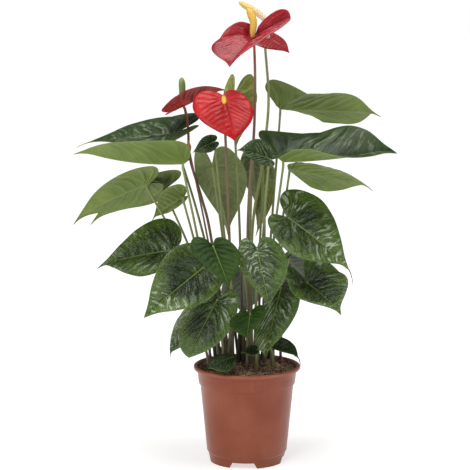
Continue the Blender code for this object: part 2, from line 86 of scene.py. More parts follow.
WIDEST_AT = 0.16
LEAF_STALK_RADIUS = 2.1
LEAF_STALK_SINK = 0.35
BLOOM_STALK_RADIUS = 2.5
LEAF_THICKNESS = 0.75
FULL_RIB_LENGTH = 130.0
SPATHE_THICKNESS = 1.0
CAD_SPATHE_THICKNESS = 1.2
SPATHE_FLAT = 5.0

# Half of a heart-shaped leaf, from the tip to the sinus: along the midrib and out to the side.
LEAF_EDGE = (
    (1.0, 0.0), (0.86, 0.13), (0.66, 0.46), (0.42, 0.80), (0.16, 1.0),
    (-0.08, 0.90), (-0.23, 0.60), (-0.21, 0.24), (-0.04, 0.0),
)
# Half of a spathe, which is rounder and has a shorter tip.
SPATHE_EDGE = (
    (1.0, 0.0), (0.90, 0.16), (0.72, 0.52), (0.46, 0.86), (0.16, 1.0),
    (-0.12, 0.86), (-0.26, 0.55), (-0.22, 0.20), (-0.10, 0.0),
)


class LeafKind(Enum):
    """How a leaf looks above and below."""

    GLOSSY = "glossy"
    QUILTED = "quilted"
    YOUNG = "young"
    SHADED = "shaded"
    OLIVE = "olive"
    # An underside painted dark, as painted shade for the leaves at the back.
    DEEP = "deep"


class StalkKind(Enum):
    """The colours of a stalk from its foot to its top."""

    LEAF = "leaf"
    BROWN = "brown"
    ROSY = "rosy"
    OLIVE = "olive"
    OLD = "old"


class SpadixKind(Enum):
    """The colours of a spadix from its root to its tip."""

    YELLOW = "yellow"
    CREAM = "cream"
    GREEN = "green"
    BUD = "bud"


@dataclass(frozen=True)
class Wire:
    """A number in a shader tree that can be used in Python sums."""

    tree: bpy.types.NodeTree
    socket: bpy.types.NodeSocket

    def math(self, operation: str, *values: "Wire | float") -> "Wire":
        """Add a Math node for an operation on the given values.

        Args:
            operation: The Math node's operation.
            values: Its inputs, in order.

        Returns:
            The node's result.
        """
        node = self.tree.nodes.new("ShaderNodeMath")
        node.operation = operation
        for slot, value in zip(node.inputs, values):
            connect(self.tree, slot, value)
        return Wire(self.tree, node.outputs[0])

    def __add__(self, other: "Wire | float") -> "Wire":
        """Sum."""
        return self.math("ADD", self, other)

    __radd__ = __add__

    def __sub__(self, other: "Wire | float") -> "Wire":
        """Difference."""
        return self.math("SUBTRACT", self, other)

    def __rsub__(self, other: float) -> "Wire":
        """Difference from a number."""
        return self.math("SUBTRACT", other, self)

    def __mul__(self, other: "Wire | float") -> "Wire":
        """Product."""
        return self.math("MULTIPLY", self, other)

    __rmul__ = __mul__

    def __abs__(self) -> "Wire":
        """Size without its sign."""
        return self.math("ABSOLUTE", self)

    def __or__(self, other: "Wire | float") -> "Wire":
        """The larger of two."""
        return self.math("MAXIMUM", self, other)

    def fraction(self) -> "Wire":
        """What is left over a whole number."""
        return self.math("FRACT", self)

    def from_whole(self) -> "Wire":
        """How far it is from the nearest whole number."""
        return abs((self + 0.5).fraction() - 0.5)


def connect(tree: bpy.types.NodeTree, slot: bpy.types.NodeSocket, value: object) -> None:
    """Give a socket a wire or a plain value.

    Args:
        tree: The shader tree.
        slot: The input socket.
        value: A wire, a socket, a number, a colour or a vector.
    """
    if isinstance(value, Wire):
        tree.links.new(value.socket, slot)
    elif isinstance(value, bpy.types.NodeSocket):
        tree.links.new(value, slot)
    elif slot.type == "RGBA":
        slot.default_value = (*value, 1.0)
    else:
        slot.default_value = value


class Finish:
    """One material while it is being put together."""

    def __init__(self, name: str) -> None:
        """Start a material.

        Args:
            name: The material's name.
        """
        self.material = bpy.data.materials.new(name)
        self.material.use_nodes = True
        self.tree = self.material.node_tree
        self.shader = self.tree.nodes["Principled BSDF"]

    def node(self, kind: str, settings: dict[str, object] | None = None,
             inputs: dict[object, object] | None = None) -> bpy.types.Node:
        """Add any node.

        Args:
            kind: The node's type.
            settings: The node's own properties, set first.
            inputs: Values or wires by the input's name or number.

        Returns:
            The new node.
        """
        made = self.tree.nodes.new(kind)
        for key, value in (settings or {}).items():
            setattr(made, key, value)
        for key, value in (inputs or {}).items():
            connect(self.tree, made.inputs[key], value)
        return made

    def wire(self, socket: bpy.types.NodeSocket) -> Wire:
        """Wrap an output socket."""
        return Wire(self.tree, socket)

    def attribute(self, name: str) -> bpy.types.Node:
        """Read one of the piece's own attributes."""
        return self.node("ShaderNodeAttribute", {"attribute_name": name})

    def number(self, name: str) -> Wire:
        """Read one of the piece's own numbers."""
        return self.wire(self.attribute(name).outputs["Fac"])

    def blade_marks(self) -> tuple[Wire, Wire, Wire, Wire]:
        """Read the places along and across, the veins' phase and the share to the margin."""
        return *self.parts(self.attribute("flat").outputs["Vector"]), self.number("reach")

    def parts(self, vector: bpy.types.NodeSocket) -> tuple[Wire, Wire, Wire]:
        """Split a vector into its three numbers."""
        split = self.node("ShaderNodeSeparateXYZ", inputs={0: vector})
        return self.wire(split.outputs[0]), self.wire(split.outputs[1]), self.wire(split.outputs[2])

    def vector(self, *values: Wire | float) -> bpy.types.NodeSocket:
        """Put three numbers together as a vector."""
        return self.node("ShaderNodeCombineXYZ", inputs=dict(enumerate(values))).outputs[0]

    def place(self, stretch: Point = (1.0, 1.0, 1.0)) -> bpy.types.NodeSocket:
        """Object coordinates, stretched along the axes."""
        spot = self.node("ShaderNodeTexCoord").outputs["Object"]
        return self.node("ShaderNodeMapping", inputs={"Vector": spot, "Scale": stretch}).outputs[0]

    def noise(self, spot: bpy.types.NodeSocket, scale: float, detail: float = 3.0,
              rough: float = 0.55) -> Wire:
        """Cloudy noise around one half.

        Args:
            spot: Coordinates.
            scale: Clouds per unit.
            detail: Octaves.
            rough: Strength of the finer octaves.

        Returns:
            The noise value.
        """
        inputs = {"Vector": spot, "Scale": scale, "Detail": detail, "Roughness": rough}
        return self.wire(self.node("ShaderNodeTexNoise", inputs=inputs).outputs[0])

    def cells(self, spot: bpy.types.NodeSocket, scale: float) -> Wire:
        """How far a place lies inside its cell, from 0 on the border.

        Args:
            spot: Coordinates.
            scale: Cells per unit.

        Returns:
            The distance, in cells.
        """
        node = self.node("ShaderNodeTexVoronoi", {"feature": "DISTANCE_TO_EDGE"},
                         {"Vector": spot, "Scale": scale})
        return self.wire(node.outputs["Distance"])

    def smooth(self, value: Wire, low: float, high: float) -> Wire:
        """A smooth step from 0 at low to 1 at high."""
        node = self.node("ShaderNodeMapRange", {"interpolation_type": "SMOOTHSTEP"},
                         {"Value": value, "From Min": low, "From Max": high})
        return self.wire(node.outputs[0])

    def mix(self, share: Wire | float, first: object, second: object) -> bpy.types.NodeSocket:
        """Blend two colours.

        Args:
            share: How much of the second.
            first: A colour or a colour socket.
            second: A colour or a colour socket.

        Returns:
            The blended colour.
        """
        node = self.node("ShaderNodeMix", {"data_type": "RGBA"})
        connect(self.tree, node.inputs[0], share)
        connect(self.tree, node.inputs[6], first)
        connect(self.tree, node.inputs[7], second)
        return node.outputs[2]

    def ramp(self, value: Wire, stops: tuple[tuple[float, Colour], ...]) -> bpy.types.NodeSocket:
        """Turn a number into a colour.

        Args:
            value: The number.
            stops: Places from 0 to 1, each with its colour.

        Returns:
            The colour.
        """
        node = self.node("ShaderNodeValToRGB", inputs={0: value})
        band = node.color_ramp
        band.elements[0].position = stops[0][0]
        band.elements[1].position = stops[-1][0]
        band.elements[0].color = (*stops[0][1], 1.0)
        band.elements[1].color = (*stops[-1][1], 1.0)
        for place, colour in stops[1:-1]:
            band.elements.new(place).color = (*colour, 1.0)
        return node.outputs[0]

    def bump(self, height: Wire, depth: float) -> None:
        """Roughen the surface by a height.

        Args:
            height: The height, from 0 to 1.
            depth: What a height of 1 stands for, in millimetres.
        """
        node = self.node("ShaderNodeBump",
                         inputs={"Strength": 1.0, "Distance": depth * MM, "Height": height})
        self.tree.links.new(node.outputs[0], self.shader.inputs["Normal"])

    def set(self, **sockets: object) -> None:
        """Set the shader's sockets, named with underscores for spaces."""
        for key, value in sockets.items():
            connect(self.tree, self.shader.inputs[key.replace("_", " ")], value)


@dataclass(frozen=True)
class LeafFace:
    """One face of a leaf: mottled green with sunken veins, swollen cells and a paler margin, lifted
    towards the margin as painted rim light, with painted silvery sheen patches.
    """

    name: str
    dark: Colour
    light: Colour
    vein: Colour
    # Colour of the painted silvery sheen, a painted reflection of the lamps.
    painted_sheen_colour: Colour = (0.42, 0.48, 0.38)
    vein_share: float = 0.30
    midrib_share: float = 0.45
    margin_share: float = 0.5
    # Share of the painted silvery sheen.
    painted_sheen: float = 0.0
    rough: float = 0.34
    relief: float = 0.8
    coat: float = 0.0
    gloss: float = 0.4

    def build(self) -> bpy.types.Material:
        """Make the material.

        Returns:
            The finished material.
        """
        finish = Finish(self.name)
        along, across, phase, reach = finish.blade_marks()
        spot = finish.place()
        span = abs(across)
        clouds = finish.noise(spot, 24.0, 3.0)
        grain = finish.noise(spot, 700.0, 2.0)
        streaks = finish.noise(finish.vector(phase * 2.6, across * 3.2, along * 1.5), 1.6, 4.0, 0.6)
        cells = finish.cells(spot, 210.0)
        from_vein = phase.from_whole()
        inside = 1 - finish.smooth(reach, 0.93, 0.99)
        vein = (1 - finish.smooth(from_vein, 0.02, 0.10)) * inside
        midrib = 1 - finish.smooth(span, 0.005, 0.018)
        zones = finish.noise(spot, 13.0, 2.0)
        # Painted rim light: the mottling is lifted lighter towards the margin.
        edge = finish.smooth(reach, 0.55, 1.0)
        mottle = zones * 0.40 + clouds * 0.25 + streaks * 0.35 + edge * 0.10
        blotch = finish.smooth(mottle, 0.42, 0.62)
        colour = finish.mix(blotch, self.dark, self.light)
        colour = finish.mix(vein * self.vein_share, colour, self.vein)
        net = 1 - finish.smooth(cells, 0.0, 0.05)
        colour = finish.mix(net * 0.16, colour, self.vein)
        # Painted sheen: silvery patches on the swollen cells between the veins, painted in as the
        # lamps' reflection.
        if self.painted_sheen > 0:
            painted_sheen_patch = finish.smooth(streaks, 0.50, 0.60) * finish.smooth(zones, 0.46, 0.58)
            raised = finish.smooth(from_vein, 0.08, 0.30) * inside
            colour = finish.mix(painted_sheen_patch * raised * self.painted_sheen, colour, self.painted_sheen_colour)
        colour = finish.mix(midrib * self.midrib_share, colour, self.vein)
        colour = finish.mix(finish.smooth(reach, 0.984, 0.995) * self.margin_share, colour,
                            self.vein)
        swell = finish.smooth(cells, 0.0, 0.28)
        finish.bump(swell * 0.50 + streaks * 0.42 + grain * 0.05, self.relief)
        finish.set(Base_Color=colour, Roughness=(streaks - 0.5) * 0.22 + grain * 0.04 + self.rough,
                   Specular_IOR_Level=self.gloss)
        if self.coat > 0:
            finish.set(Coat_Weight=self.coat, Coat_Roughness=0.14)
        return finish.material


@dataclass(frozen=True)
class SpatheFace:
    """One face of a spathe: waxy red with embossed veins and a painted pale highlight on the swollen
    crests.
    """

    name: str
    deep: Colour
    bright: Colour
    # Colour and share of the painted highlight on the swollen crests.
    pale: Colour
    painted_highlight_share: float = 0.3
    rough: float = 0.28
    relief: float = 0.8
    coat: float = 0.3

    def build(self) -> bpy.types.Material:
        """Make the material.

        Returns:
            The finished material.
        """
        finish = Finish(self.name)
        along, across, phase, reach = finish.blade_marks()
        spot = finish.place()
        span = abs(across)
        clouds = finish.noise(spot, 30.0, 3.0)
        drawn = finish.vector(phase * 2.4, across * 3.0, along * 1.2)
        wrinkles = finish.noise(drawn, 1.5, 2.0, 0.5)
        cells = finish.cells(spot, 200.0)
        from_vein = phase.from_whole()
        inside = 1 - finish.smooth(reach, 0.95, 0.995)
        vein = (1 - finish.smooth(from_vein, 0.0, 0.14)) * inside
        midrib = 1 - finish.smooth(span, 0.0, 0.03)
        colour = finish.mix(finish.smooth(clouds, 0.34, 0.66), self.deep, self.bright)
        # Painted highlight: pale pink on the crests between the veins, painted in as the lamps'
        # reflection.
        painted_highlight_crest = finish.smooth(wrinkles, 0.52, 0.68) * finish.smooth(from_vein, 0.10, 0.34) * inside
        colour = finish.mix(painted_highlight_crest * self.painted_highlight_share, colour, self.pale)
        colour = finish.mix((vein | midrib) * 0.30, colour, self.deep)
        colour = finish.mix(finish.smooth(reach, 0.975, 0.995) * 0.5, colour, self.deep)
        height = finish.smooth(cells, 0.0, 0.30) * 0.12 + wrinkles * 0.55
        finish.bump(height, self.relief)
        finish.set(Base_Color=colour, Roughness=(wrinkles - 0.5) * 0.16 + self.rough,
                   Specular_IOR_Level=0.25)
        if self.coat > 0:
            finish.set(Coat_Weight=self.coat, Coat_Roughness=0.12)
        return finish.material


@dataclass(frozen=True)
class StalkSkin:
    """A stalk's skin: colours from foot to top, with long streaks."""

    name: str
    stops: tuple[tuple[float, Colour], ...]
    streak: Colour = (0.07, 0.05, 0.03)
    rough: float = 0.42

    def build(self) -> bpy.types.Material:
        """Make the material.

        Returns:
            The finished material.
        """
        finish = Finish(self.name)
        along = finish.number("along")
        streaks = finish.noise(finish.place((1.0, 1.0, 0.05)), 900.0, 2.0)
        clouds = finish.noise(finish.place(), 60.0, 3.0)
        specks = finish.noise(finish.place((1.0, 1.0, 0.5)), 1400.0, 2.0)
        colour = finish.ramp(along + (clouds - 0.5) * 0.12, self.stops)
        colour = finish.mix(finish.smooth(streaks, 0.50, 0.72) * 0.45, colour, self.streak)
        colour = finish.mix(finish.smooth(specks, 0.66, 0.74) * 0.35, colour, (0.30, 0.26, 0.17))
        finish.bump(streaks * 0.8 + specks * 0.2, 0.25)
        finish.set(Base_Color=colour, Roughness=streaks * 0.12 + self.rough)
        return finish.material


@dataclass(frozen=True)
class FloretSkin:
    """A spadix's skin: tight florets, from its root's colour to its tip's."""

    name: str
    stops: tuple[tuple[float, Colour], ...]
    between: Colour
    size: float = 1.5

    def build(self) -> bpy.types.Material:
        """Make the material.

        Returns:
            The finished material.
        """
        finish = Finish(self.name)
        along = finish.number("along")
        spot = finish.place()
        cells = finish.node("ShaderNodeTexVoronoi", inputs={
            "Vector": spot, "Scale": 1.0 / (self.size * MM), "Randomness": 0.45})
        middle = finish.wire(cells.outputs["Distance"])
        clouds = finish.noise(spot, 120.0, 2.0)
        colour = finish.ramp(along + (clouds - 0.5) * 0.15, self.stops)
        seam = finish.smooth(middle, 0.40, 0.72)
        colour = finish.mix(seam * 0.5, colour, self.between)
        finish.bump(1 - middle, 0.45)
        finish.set(Base_Color=colour, Roughness=seam * 0.2 + 0.42)
        return finish.material


@dataclass(frozen=True)
class Plastic:
    """Terracotta-coloured nursery pot plastic, a little scuffed, with a painted highlight that makes
    it paler at the lip.
    """

    name: str = "terracotta_plastic"
    body: Colour = (0.210, 0.041, 0.014)
    # Colour of scuffs and wear, also used for the painted highlight at the lip.
    wear_and_lip_highlight: Colour = (0.38, 0.125, 0.070)
    # Colour that the plastic darkens to towards the bottom.
    foot_darkening: Colour = (0.16, 0.045, 0.022)

    def build(self) -> bpy.types.Material:
        """Make the material.

        Returns:
            The finished material.
        """
        finish = Finish(self.name)
        spot = finish.place()
        height = finish.parts(spot)[2]
        clouds = finish.noise(spot, 18.0, 4.0)
        streaks = finish.noise(finish.place((1.0, 1.0, 0.12)), 70.0, 3.0)
        scuffs = finish.noise(finish.place((1.0, 1.0, 4.0)), 160.0, 4.0, 0.7)
        grain = finish.noise(spot, 1800.0, 2.0)
        # Mask of the lip's top, where the painted highlight goes.
        lip = finish.smooth(height, (POT_HEIGHT - 7.0) * MM, (POT_HEIGHT - 2.0) * MM)
        foot = 1 - finish.smooth(height, 0.004, 0.030)
        colour = finish.mix(finish.smooth(clouds, 0.35, 0.68) * 0.22, self.body, self.wear_and_lip_highlight)
        colour = finish.mix(finish.smooth(streaks, 0.52, 0.78) * 0.16, colour, self.wear_and_lip_highlight)
        colour = finish.mix(finish.smooth(scuffs, 0.60, 0.76) * 0.18, colour, self.wear_and_lip_highlight)
        # Painted highlight: the lip is made paler as where the light falls on the top of the pot.
        colour = finish.mix(lip * 0.45, colour, self.wear_and_lip_highlight)
        # Darker towards the bottom, in cloudy patches.
        colour = finish.mix(foot * finish.smooth(clouds, 0.35, 0.60) * 0.45, colour, self.foot_darkening)
        finish.bump(grain * 0.6 + scuffs * 0.4, 0.09)
        finish.set(Base_Color=colour, Roughness=clouds * 0.10 + grain * 0.05 + 0.24,
                   Specular_IOR_Level=0.32)
        return finish.material


@dataclass(frozen=True)
class Peat:
    """Crumbly peat: nearly black, with rusty and tan specks."""

    name: str
    dark: Colour = (0.012, 0.008, 0.006)
    brown: Colour = (0.170, 0.085, 0.050)
    speck: Colour = (0.50, 0.34, 0.22)
    specks: float = 0.53

    def build(self) -> bpy.types.Material:
        """Make the material.

        Returns:
            The finished material.
        """
        finish = Finish(self.name)
        spot = finish.place()
        clouds = finish.noise(spot, 150.0, 3.0, 0.6)
        crumbs = finish.noise(spot, 420.0, 3.0, 0.6)
        threads = finish.noise(finish.place((0.3, 1.0, 1.0)), 700.0, 2.0)
        colour = finish.mix(finish.smooth(clouds, 0.44, 0.56), self.dark, self.brown)
        colour = finish.mix(finish.smooth(crumbs, self.specks, self.specks + 0.08), colour,
                            self.speck)
        colour = finish.mix(finish.smooth(threads, 0.68, 0.76) * 0.6, colour, self.speck)
        finish.bump(clouds * 0.5 + crumbs * 0.5, 1.4)
        finish.set(Base_Color=colour, Roughness=crumbs * 0.15 + 0.82)
        return finish.material


def select_only(*things: bpy.types.Object) -> None:
    """Select these objects alone and make the first of them active."""
    bpy.ops.object.select_all(action="DESELECT")
    for thing in things:
        thing.select_set(True)
    bpy.context.view_layer.objects.active = things[0]


def to_scene(points: np.ndarray) -> np.ndarray:
    """Millimetres from the pot's axis to metres in the scene."""
    return (np.asarray(points, float) + POT_AXIS) * MM


def put(piece: bpy.types.Object, points: np.ndarray) -> None:
    """Move every vertex of a piece to its place, given in millimetres."""
    piece.data.vertices.foreach_set("co", to_scene(points).astype(np.float32).ravel())
    piece.data.update()


def note(piece: bpy.types.Object, name: str, values: np.ndarray) -> None:
    """Keep one number or one vector for every vertex, for the materials to read."""
    kind, key = ("FLOAT_VECTOR", "vector") if values.ndim == 2 else ("FLOAT", "value")
    kept = piece.data.attributes.new(name, kind, "POINT")
    kept.data.foreach_set(key, values.astype(np.float32).ravel())


def weld(piece: bpy.types.Object, outwards: bool = True) -> None:
    """Merge the vertices that meet at seams and poles.

    Args:
        piece: The piece.
        outwards: Whether its faces are then turned to point out.
    """
    select_only(piece)
    bpy.ops.object.mode_set(mode="EDIT")
    bpy.ops.mesh.select_all(action="SELECT")
    bpy.ops.mesh.remove_doubles(threshold=0.000002)
    bpy.ops.mesh.dissolve_degenerate(threshold=0.000001)
    if outwards:
        bpy.ops.mesh.normals_make_consistent(inside=False)
    bpy.ops.object.mode_set(mode="OBJECT")


def sheet(name: str, columns: int, rows: int) -> tuple[bpy.types.Object, np.ndarray, np.ndarray]:
    """Add a grid to be bent into a piece.

    Args:
        name: The piece's name.
        columns: Faces across.
        rows: Faces up.

    Returns:
        The object, and each vertex's share across and up, from 0 to 1.
    """
    bpy.ops.object.select_all(action="DESELECT")
    bpy.ops.mesh.primitive_grid_add(x_subdivisions=columns, y_subdivisions=rows, size=2.0)
    piece = bpy.context.object
    piece.name = name
    piece.data.name = name
    flat = np.empty(len(piece.data.vertices) * 3, np.float32)
    piece.data.vertices.foreach_get("co", flat)
    spots = flat.reshape(-1, 3).astype(float)
    return piece, (spots[:, 0] + 1) / 2, (spots[:, 1] + 1) / 2


def smoothed(piece: bpy.types.Object, degrees: float = 40.0) -> None:
    """Shade a piece smooth, with edges sharper than an angle kept crisp."""
    select_only(piece)
    bpy.ops.object.shade_smooth_by_angle(angle=math.radians(degrees))


def joined(*pieces: bpy.types.Object) -> bpy.types.Object:
    """Join pieces into the first of them."""
    select_only(*pieces)
    bpy.ops.object.join()
    return pieces[0]


def bake_modifiers(piece: bpy.types.Object) -> None:
    """Apply every modifier of a piece, in order."""
    select_only(piece)
    for modifier in list(piece.modifiers):
        bpy.ops.object.modifier_apply(modifier=modifier.name)


@cache
def solids_box() -> tuple[np.ndarray, np.ndarray]:
    """The two corners of the solids' box, first read before any piece is made."""
    low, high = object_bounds()
    return np.array(low), np.array(high)


def hand_over(piece: bpy.types.Object, slot: str, *nodes: str) -> None:
    """Let a finished piece ride on the plant and stand for its solids.

    No point of it stays past the box that holds the solids.

    Args:
        piece: The finished piece.
        slot: The record's material slot; not used.
        nodes: The solids that it stands for.
    """
    low, high = solids_box()
    spots = np.empty(len(piece.data.vertices) * 3)
    piece.data.vertices.foreach_get("co", spots)
    piece.data.vertices.foreach_set("co", np.clip(spots.reshape(-1, 3), low, high).ravel())
    piece.data.update()
    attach(piece, BODY)
    if nodes:
        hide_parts(*nodes)
    LOG.info("%s: %d faces", piece.name, len(piece.data.polygons))


def between(knots: Sequence[np.ndarray], t: np.ndarray | float) -> np.ndarray:
    """A Catmull-Rom point between the second and the third of four knots.

    Args:
        knots: The four knots.
        t: The share of the way.

    Returns:
        The point.
    """
    p0, p1, p2, p3 = knots
    return 0.5 * (2 * p1 + (p2 - p0) * t + (2 * p0 - 5 * p1 + 4 * p2 - p3) * t * t
                  + (3 * p1 - 3 * p2 + p3 - p0) * t ** 3)


def curve_through(points: list[np.ndarray], steps: int) -> np.ndarray:
    """A Catmull-Rom curve through points, at even steps of their chord length.

    Args:
        points: The points.
        steps: How many steps.

    Returns:
        The curve's points, one more than the steps.
    """
    spots = [np.asarray(point, float) for point in points]
    padded = [2 * spots[0] - spots[1]] + spots + [2 * spots[-1] - spots[-2]]
    lengths = [float(np.linalg.norm(b - a)) for a, b in zip(spots, spots[1:])]
    total = sum(lengths)
    path = []
    for step in range(steps + 1):
        reach = total * step / steps
        span = 0
        while span < len(lengths) - 1 and reach > lengths[span]:
            reach -= lengths[span]
            span += 1
        path.append(between(padded[span:span + 4], min(1.0, reach / lengths[span])))
    return np.array(path)


def soil_height(x: np.ndarray | float, y: np.ndarray | float) -> np.ndarray | float:
    """How high the soil lies: a low mound where the crowns stand, and shallow bumps."""
    mound = 8.0 * np.exp(-(x * x + y * y) / (2 * 34.0 ** 2))
    bumps = np.sin(x * 0.21 + 1.3) * np.cos(y * 0.17 - 0.6)
    bumps = bumps + 0.6 * np.sin(x * 0.11 - y * 0.27 + 2.0)
    return SOIL_TOP - 4.0 + mound + SOIL_BUMP * 0.5 * bumps


def stalk_route(foot: tuple[float, float], end: np.ndarray, last: np.ndarray, lean: float,
                via: tuple[Point, ...] = ()) -> list[np.ndarray]:
    """Points up a stalk: straight out of the soil, then leaning over to its end.

    Args:
        foot: Where it leaves the soil.
        end: Its upper end.
        last: The point just below its end.
        lean: How late it leans over.
        via: Points it passes through instead.

    Returns:
        The points, from below the soil to the end.
    """
    ground = float(soil_height(*foot))
    neck = np.array((foot[0], foot[1], ground + 6.0))
    route = [np.array((foot[0], foot[1], ground - ROOT_DEPTH)), neck]
    if via:
        route += [np.array(point, float) for point in via]
    else:
        for share in (0.33, 0.68):
            spread = share ** lean
            route.append(np.array((
                foot[0] + (end[0] - foot[0]) * spread,
                foot[1] + (end[1] - foot[1]) * spread,
                neck[2] + (end[2] - neck[2]) * share,
            )))
    return route + [last, end]


def tube(name: str, path: np.ndarray, radii: np.ndarray, sides: int, skin: bpy.types.Material,
         ripple: np.ndarray | None = None) -> bpy.types.Object:
    """A closed tube along a path, rolled up from a grid.

    Args:
        name: The piece's name.
        path: Points along its middle.
        radii: Its radius at each point.
        sides: Faces around.
        skin: Its material.
        ripple: Heights added to the radius, one row for each point and one column a side.

    Returns:
        The tube, whose attribute along runs from 0 to 1.
    """
    count = len(path)
    piece, turn, up = sheet(name, sides, count + 1)
    ahead = np.gradient(path, axis=0)
    ahead /= np.linalg.norm(ahead, axis=1)[:, None]
    across = np.empty_like(path)
    helper = np.array((1.0, 0.0, 0.0)) if abs(ahead[0][0]) < 0.9 else np.array((0.0, 1.0, 0.0))
    side = np.cross(ahead[0], helper)
    for index in range(count):
        side = side - ahead[index] * side.dot(ahead[index])
        side /= np.linalg.norm(side)
        across[index] = side
    other = np.cross(ahead, across)
    row = np.rint(up * (count + 1)).astype(int)
    station = np.clip(row - 1, 0, count - 1)
    reach = np.where((row == 0) | (row == count + 1), 0.0, radii[station])
    if ripple is not None:
        column = np.rint(turn * sides).astype(int) % sides
        reach = np.where(reach > 0, reach + ripple[station, column], 0.0)
    angle = math.tau * turn
    points = path[station] + reach[:, None] * (
        np.cos(angle)[:, None] * across[station] + np.sin(angle)[:, None] * other[station])
    put(piece, points)
    note(piece, "along", station / (count - 1))
    note(piece, "flat", np.zeros((len(turn), 3)))
    note(piece, "reach", np.zeros(len(turn)))
    weld(piece)
    piece.data.materials.append(skin)
    smoothed(piece, 80.0)
    return piece


@dataclass(frozen=True)
class StalkForm:
    """How the stalks of one kind are made, in millimetres.

    Approach is how far below the blade a stalk turns to meet it. Low and high are its radii
    at the foot and at the top. Knee is how much it swells just below the blade, as a share.
    """

    approach: float
    low: float
    high: float
    knee: float
    steps: int
    sides: int

    def grow(self, name: str, foot: tuple[float, float], end: np.ndarray, normal: np.ndarray,
             lean: float, via: tuple[Point, ...], skin: bpy.types.Material) -> bpy.types.Object:
        """Make a stalk that meets its blade from below.

        Args:
            name: The piece's name.
            foot: Where it leaves the soil.
            end: Its upper end.
            normal: The blade's upper normal.
            lean: How late it leans over.
            via: Points it passes through instead.
            skin: Its material.

        Returns:
            The stalk.
        """
        route = stalk_route(foot, end, end - normal * self.approach, lean, via)
        path = curve_through(route, self.steps)
        return tube(name, path, self.radii(path), self.sides, skin)

    def radii(self, path: np.ndarray) -> np.ndarray:
        """Radii up a stalk: stout at its foot, slim, and a little swollen at its knee."""
        length = float(np.sum(np.linalg.norm(np.diff(path, axis=0), axis=1)))
        share = np.linspace(0.0, 1.0, len(path))
        below = (1 - share) * length
        radii = self.low + (self.high - self.low) * share
        radii *= 1 + 0.16 * np.exp(-((share * length - 24.0) / 16.0) ** 2)
        return radii * (1 + self.knee * np.exp(-((below - 10.0) / 6.0) ** 2))


LEAF_STALK = StalkForm(approach=6.0, low=LEAF_STALK_RADIUS * 1.12, high=LEAF_STALK_RADIUS * 0.80,
                       knee=0.22, steps=44, sides=12)
BLOOM_STALK = StalkForm(approach=9.0, low=BLOOM_STALK_RADIUS * 1.05,
                        high=BLOOM_STALK_RADIUS * 0.80, knee=0.12, steps=64, sides=14)


@dataclass(frozen=True)
class Blade:
    """Where a blade's junction, tip and widest points lie, and how it bends between them.

    Arch, bulge, drip, lobes and wave are shares of the blade's length. Back stretches the
    lobes. Twist turns the outer part about the midrib and heel turns a lobe, both in
    degrees, with the left side going up. Plump below 1 makes the outer part fuller.
    """

    junction: Point
    tip: Point
    left: Point
    right: Point
    arch: float = 0.03
    bulge: float = 0.025
    drip: float = 0.05
    lobes: float = 0.0
    back: float = 1.0
    twist: float = 0.0
    heel_left: float = 0.0
    heel_right: float = 0.0
    wave: float = 0.01
    waves: float = 3.0
    plump: float = 1.0

    def frame(self) -> tuple[np.ndarray, np.ndarray, np.ndarray, np.ndarray, np.ndarray]:
        """The blade's origin, midrib, left side, right side and upper normal."""
        start = np.array(self.junction, float)
        along = np.array(self.tip, float) - start
        length = float(np.linalg.norm(along))
        widest = start + along * WIDEST_AT
        left = np.array(self.left, float) - widest
        right = np.array(self.right, float) - widest
        first, second = np.cross(along, left), np.cross(right, along)
        normal = first / np.linalg.norm(first) + second / np.linalg.norm(second)
        normal /= np.linalg.norm(normal)
        raised = normal * length * self.arch * 4 * WIDEST_AT * (1 - WIDEST_AT)
        return start, along, left - raised, right - raised, normal

    @property
    def normal(self) -> np.ndarray:
        """The blade's upper normal."""
        return self.frame()[4]

    def outline(self, edge: tuple[tuple[float, float], ...]) -> list[tuple[float, float]]:
        """Half of the margin, with its outer part made fuller where plump is below 1."""
        return [(u, v ** self.plump if u > WIDEST_AT else v) for u, v in edge]

    def surface(self, u: np.ndarray, v: np.ndarray, ring: np.ndarray, turn: np.ndarray,
                flat: float = 0.0, relief: np.ndarray | float = 0.0) -> np.ndarray:
        """Points of the blade.

        Args:
            u: Places along the midrib, from the junction at 0 to the tip at 1.
            v: Places across, from -1 at the right edge to 1 at the left.
            ring: Shares of the way from the middle to the margin.
            turn: Shares of the way round the margin.
            flat: Radius of the level seat at the junction, in millimetres.
            relief: Height to add, in millimetres.

        Returns:
            The points, in millimetres.
        """
        start, along, left, right, normal = self.frame()
        length = float(np.linalg.norm(along))
        axis = along / length
        u = np.where(u < 0, u * self.back, u)
        span = np.abs(v)
        side = np.where((v > 0)[:, None], left, right)
        heel = np.where(v > 0, self.heel_left, self.heel_right)
        roll = self.twist * np.maximum(0.0, (u - WIDEST_AT) / (1 - WIDEST_AT))
        roll = np.radians(roll + heel * np.clip(-u / 0.25, 0.0, 1.0))[:, None]
        side = (side * np.cos(roll) + np.cross(axis, side) * np.sin(roll)
                + axis * (side @ axis)[:, None] * (1 - np.cos(roll)))
        rise = side @ normal
        level = side - rise[:, None] * normal
        lift = span * rise + relief
        lift += length * self.arch * 4 * u * (1 - u)
        lift += length * self.bulge * 4 * span * (1 - span)
        lift -= length * self.drip * np.maximum(0.0, (u - 0.8) / 0.2) ** 2
        lift += length * self.lobes * np.maximum(0.0, -u) / 0.25
        lift += length * self.wave * np.sin(math.tau * self.waves * turn) * ring ** 3
        offset = along * u[:, None] + level * span[:, None]
        if flat > 0:
            away = np.linalg.norm(offset, axis=1)
            blend = np.clip((away - flat) / (2 * flat), 0.0, 1.0)
            lift *= blend * blend * (3 - 2 * blend)
        return start + offset + normal * lift[:, None]

    def junction_point(self, flat: float = 0.0) -> np.ndarray:
        """The point where the stalk meets the blade."""
        zero = np.zeros(1)
        return self.surface(zero, zero, zero, zero, flat)[0]


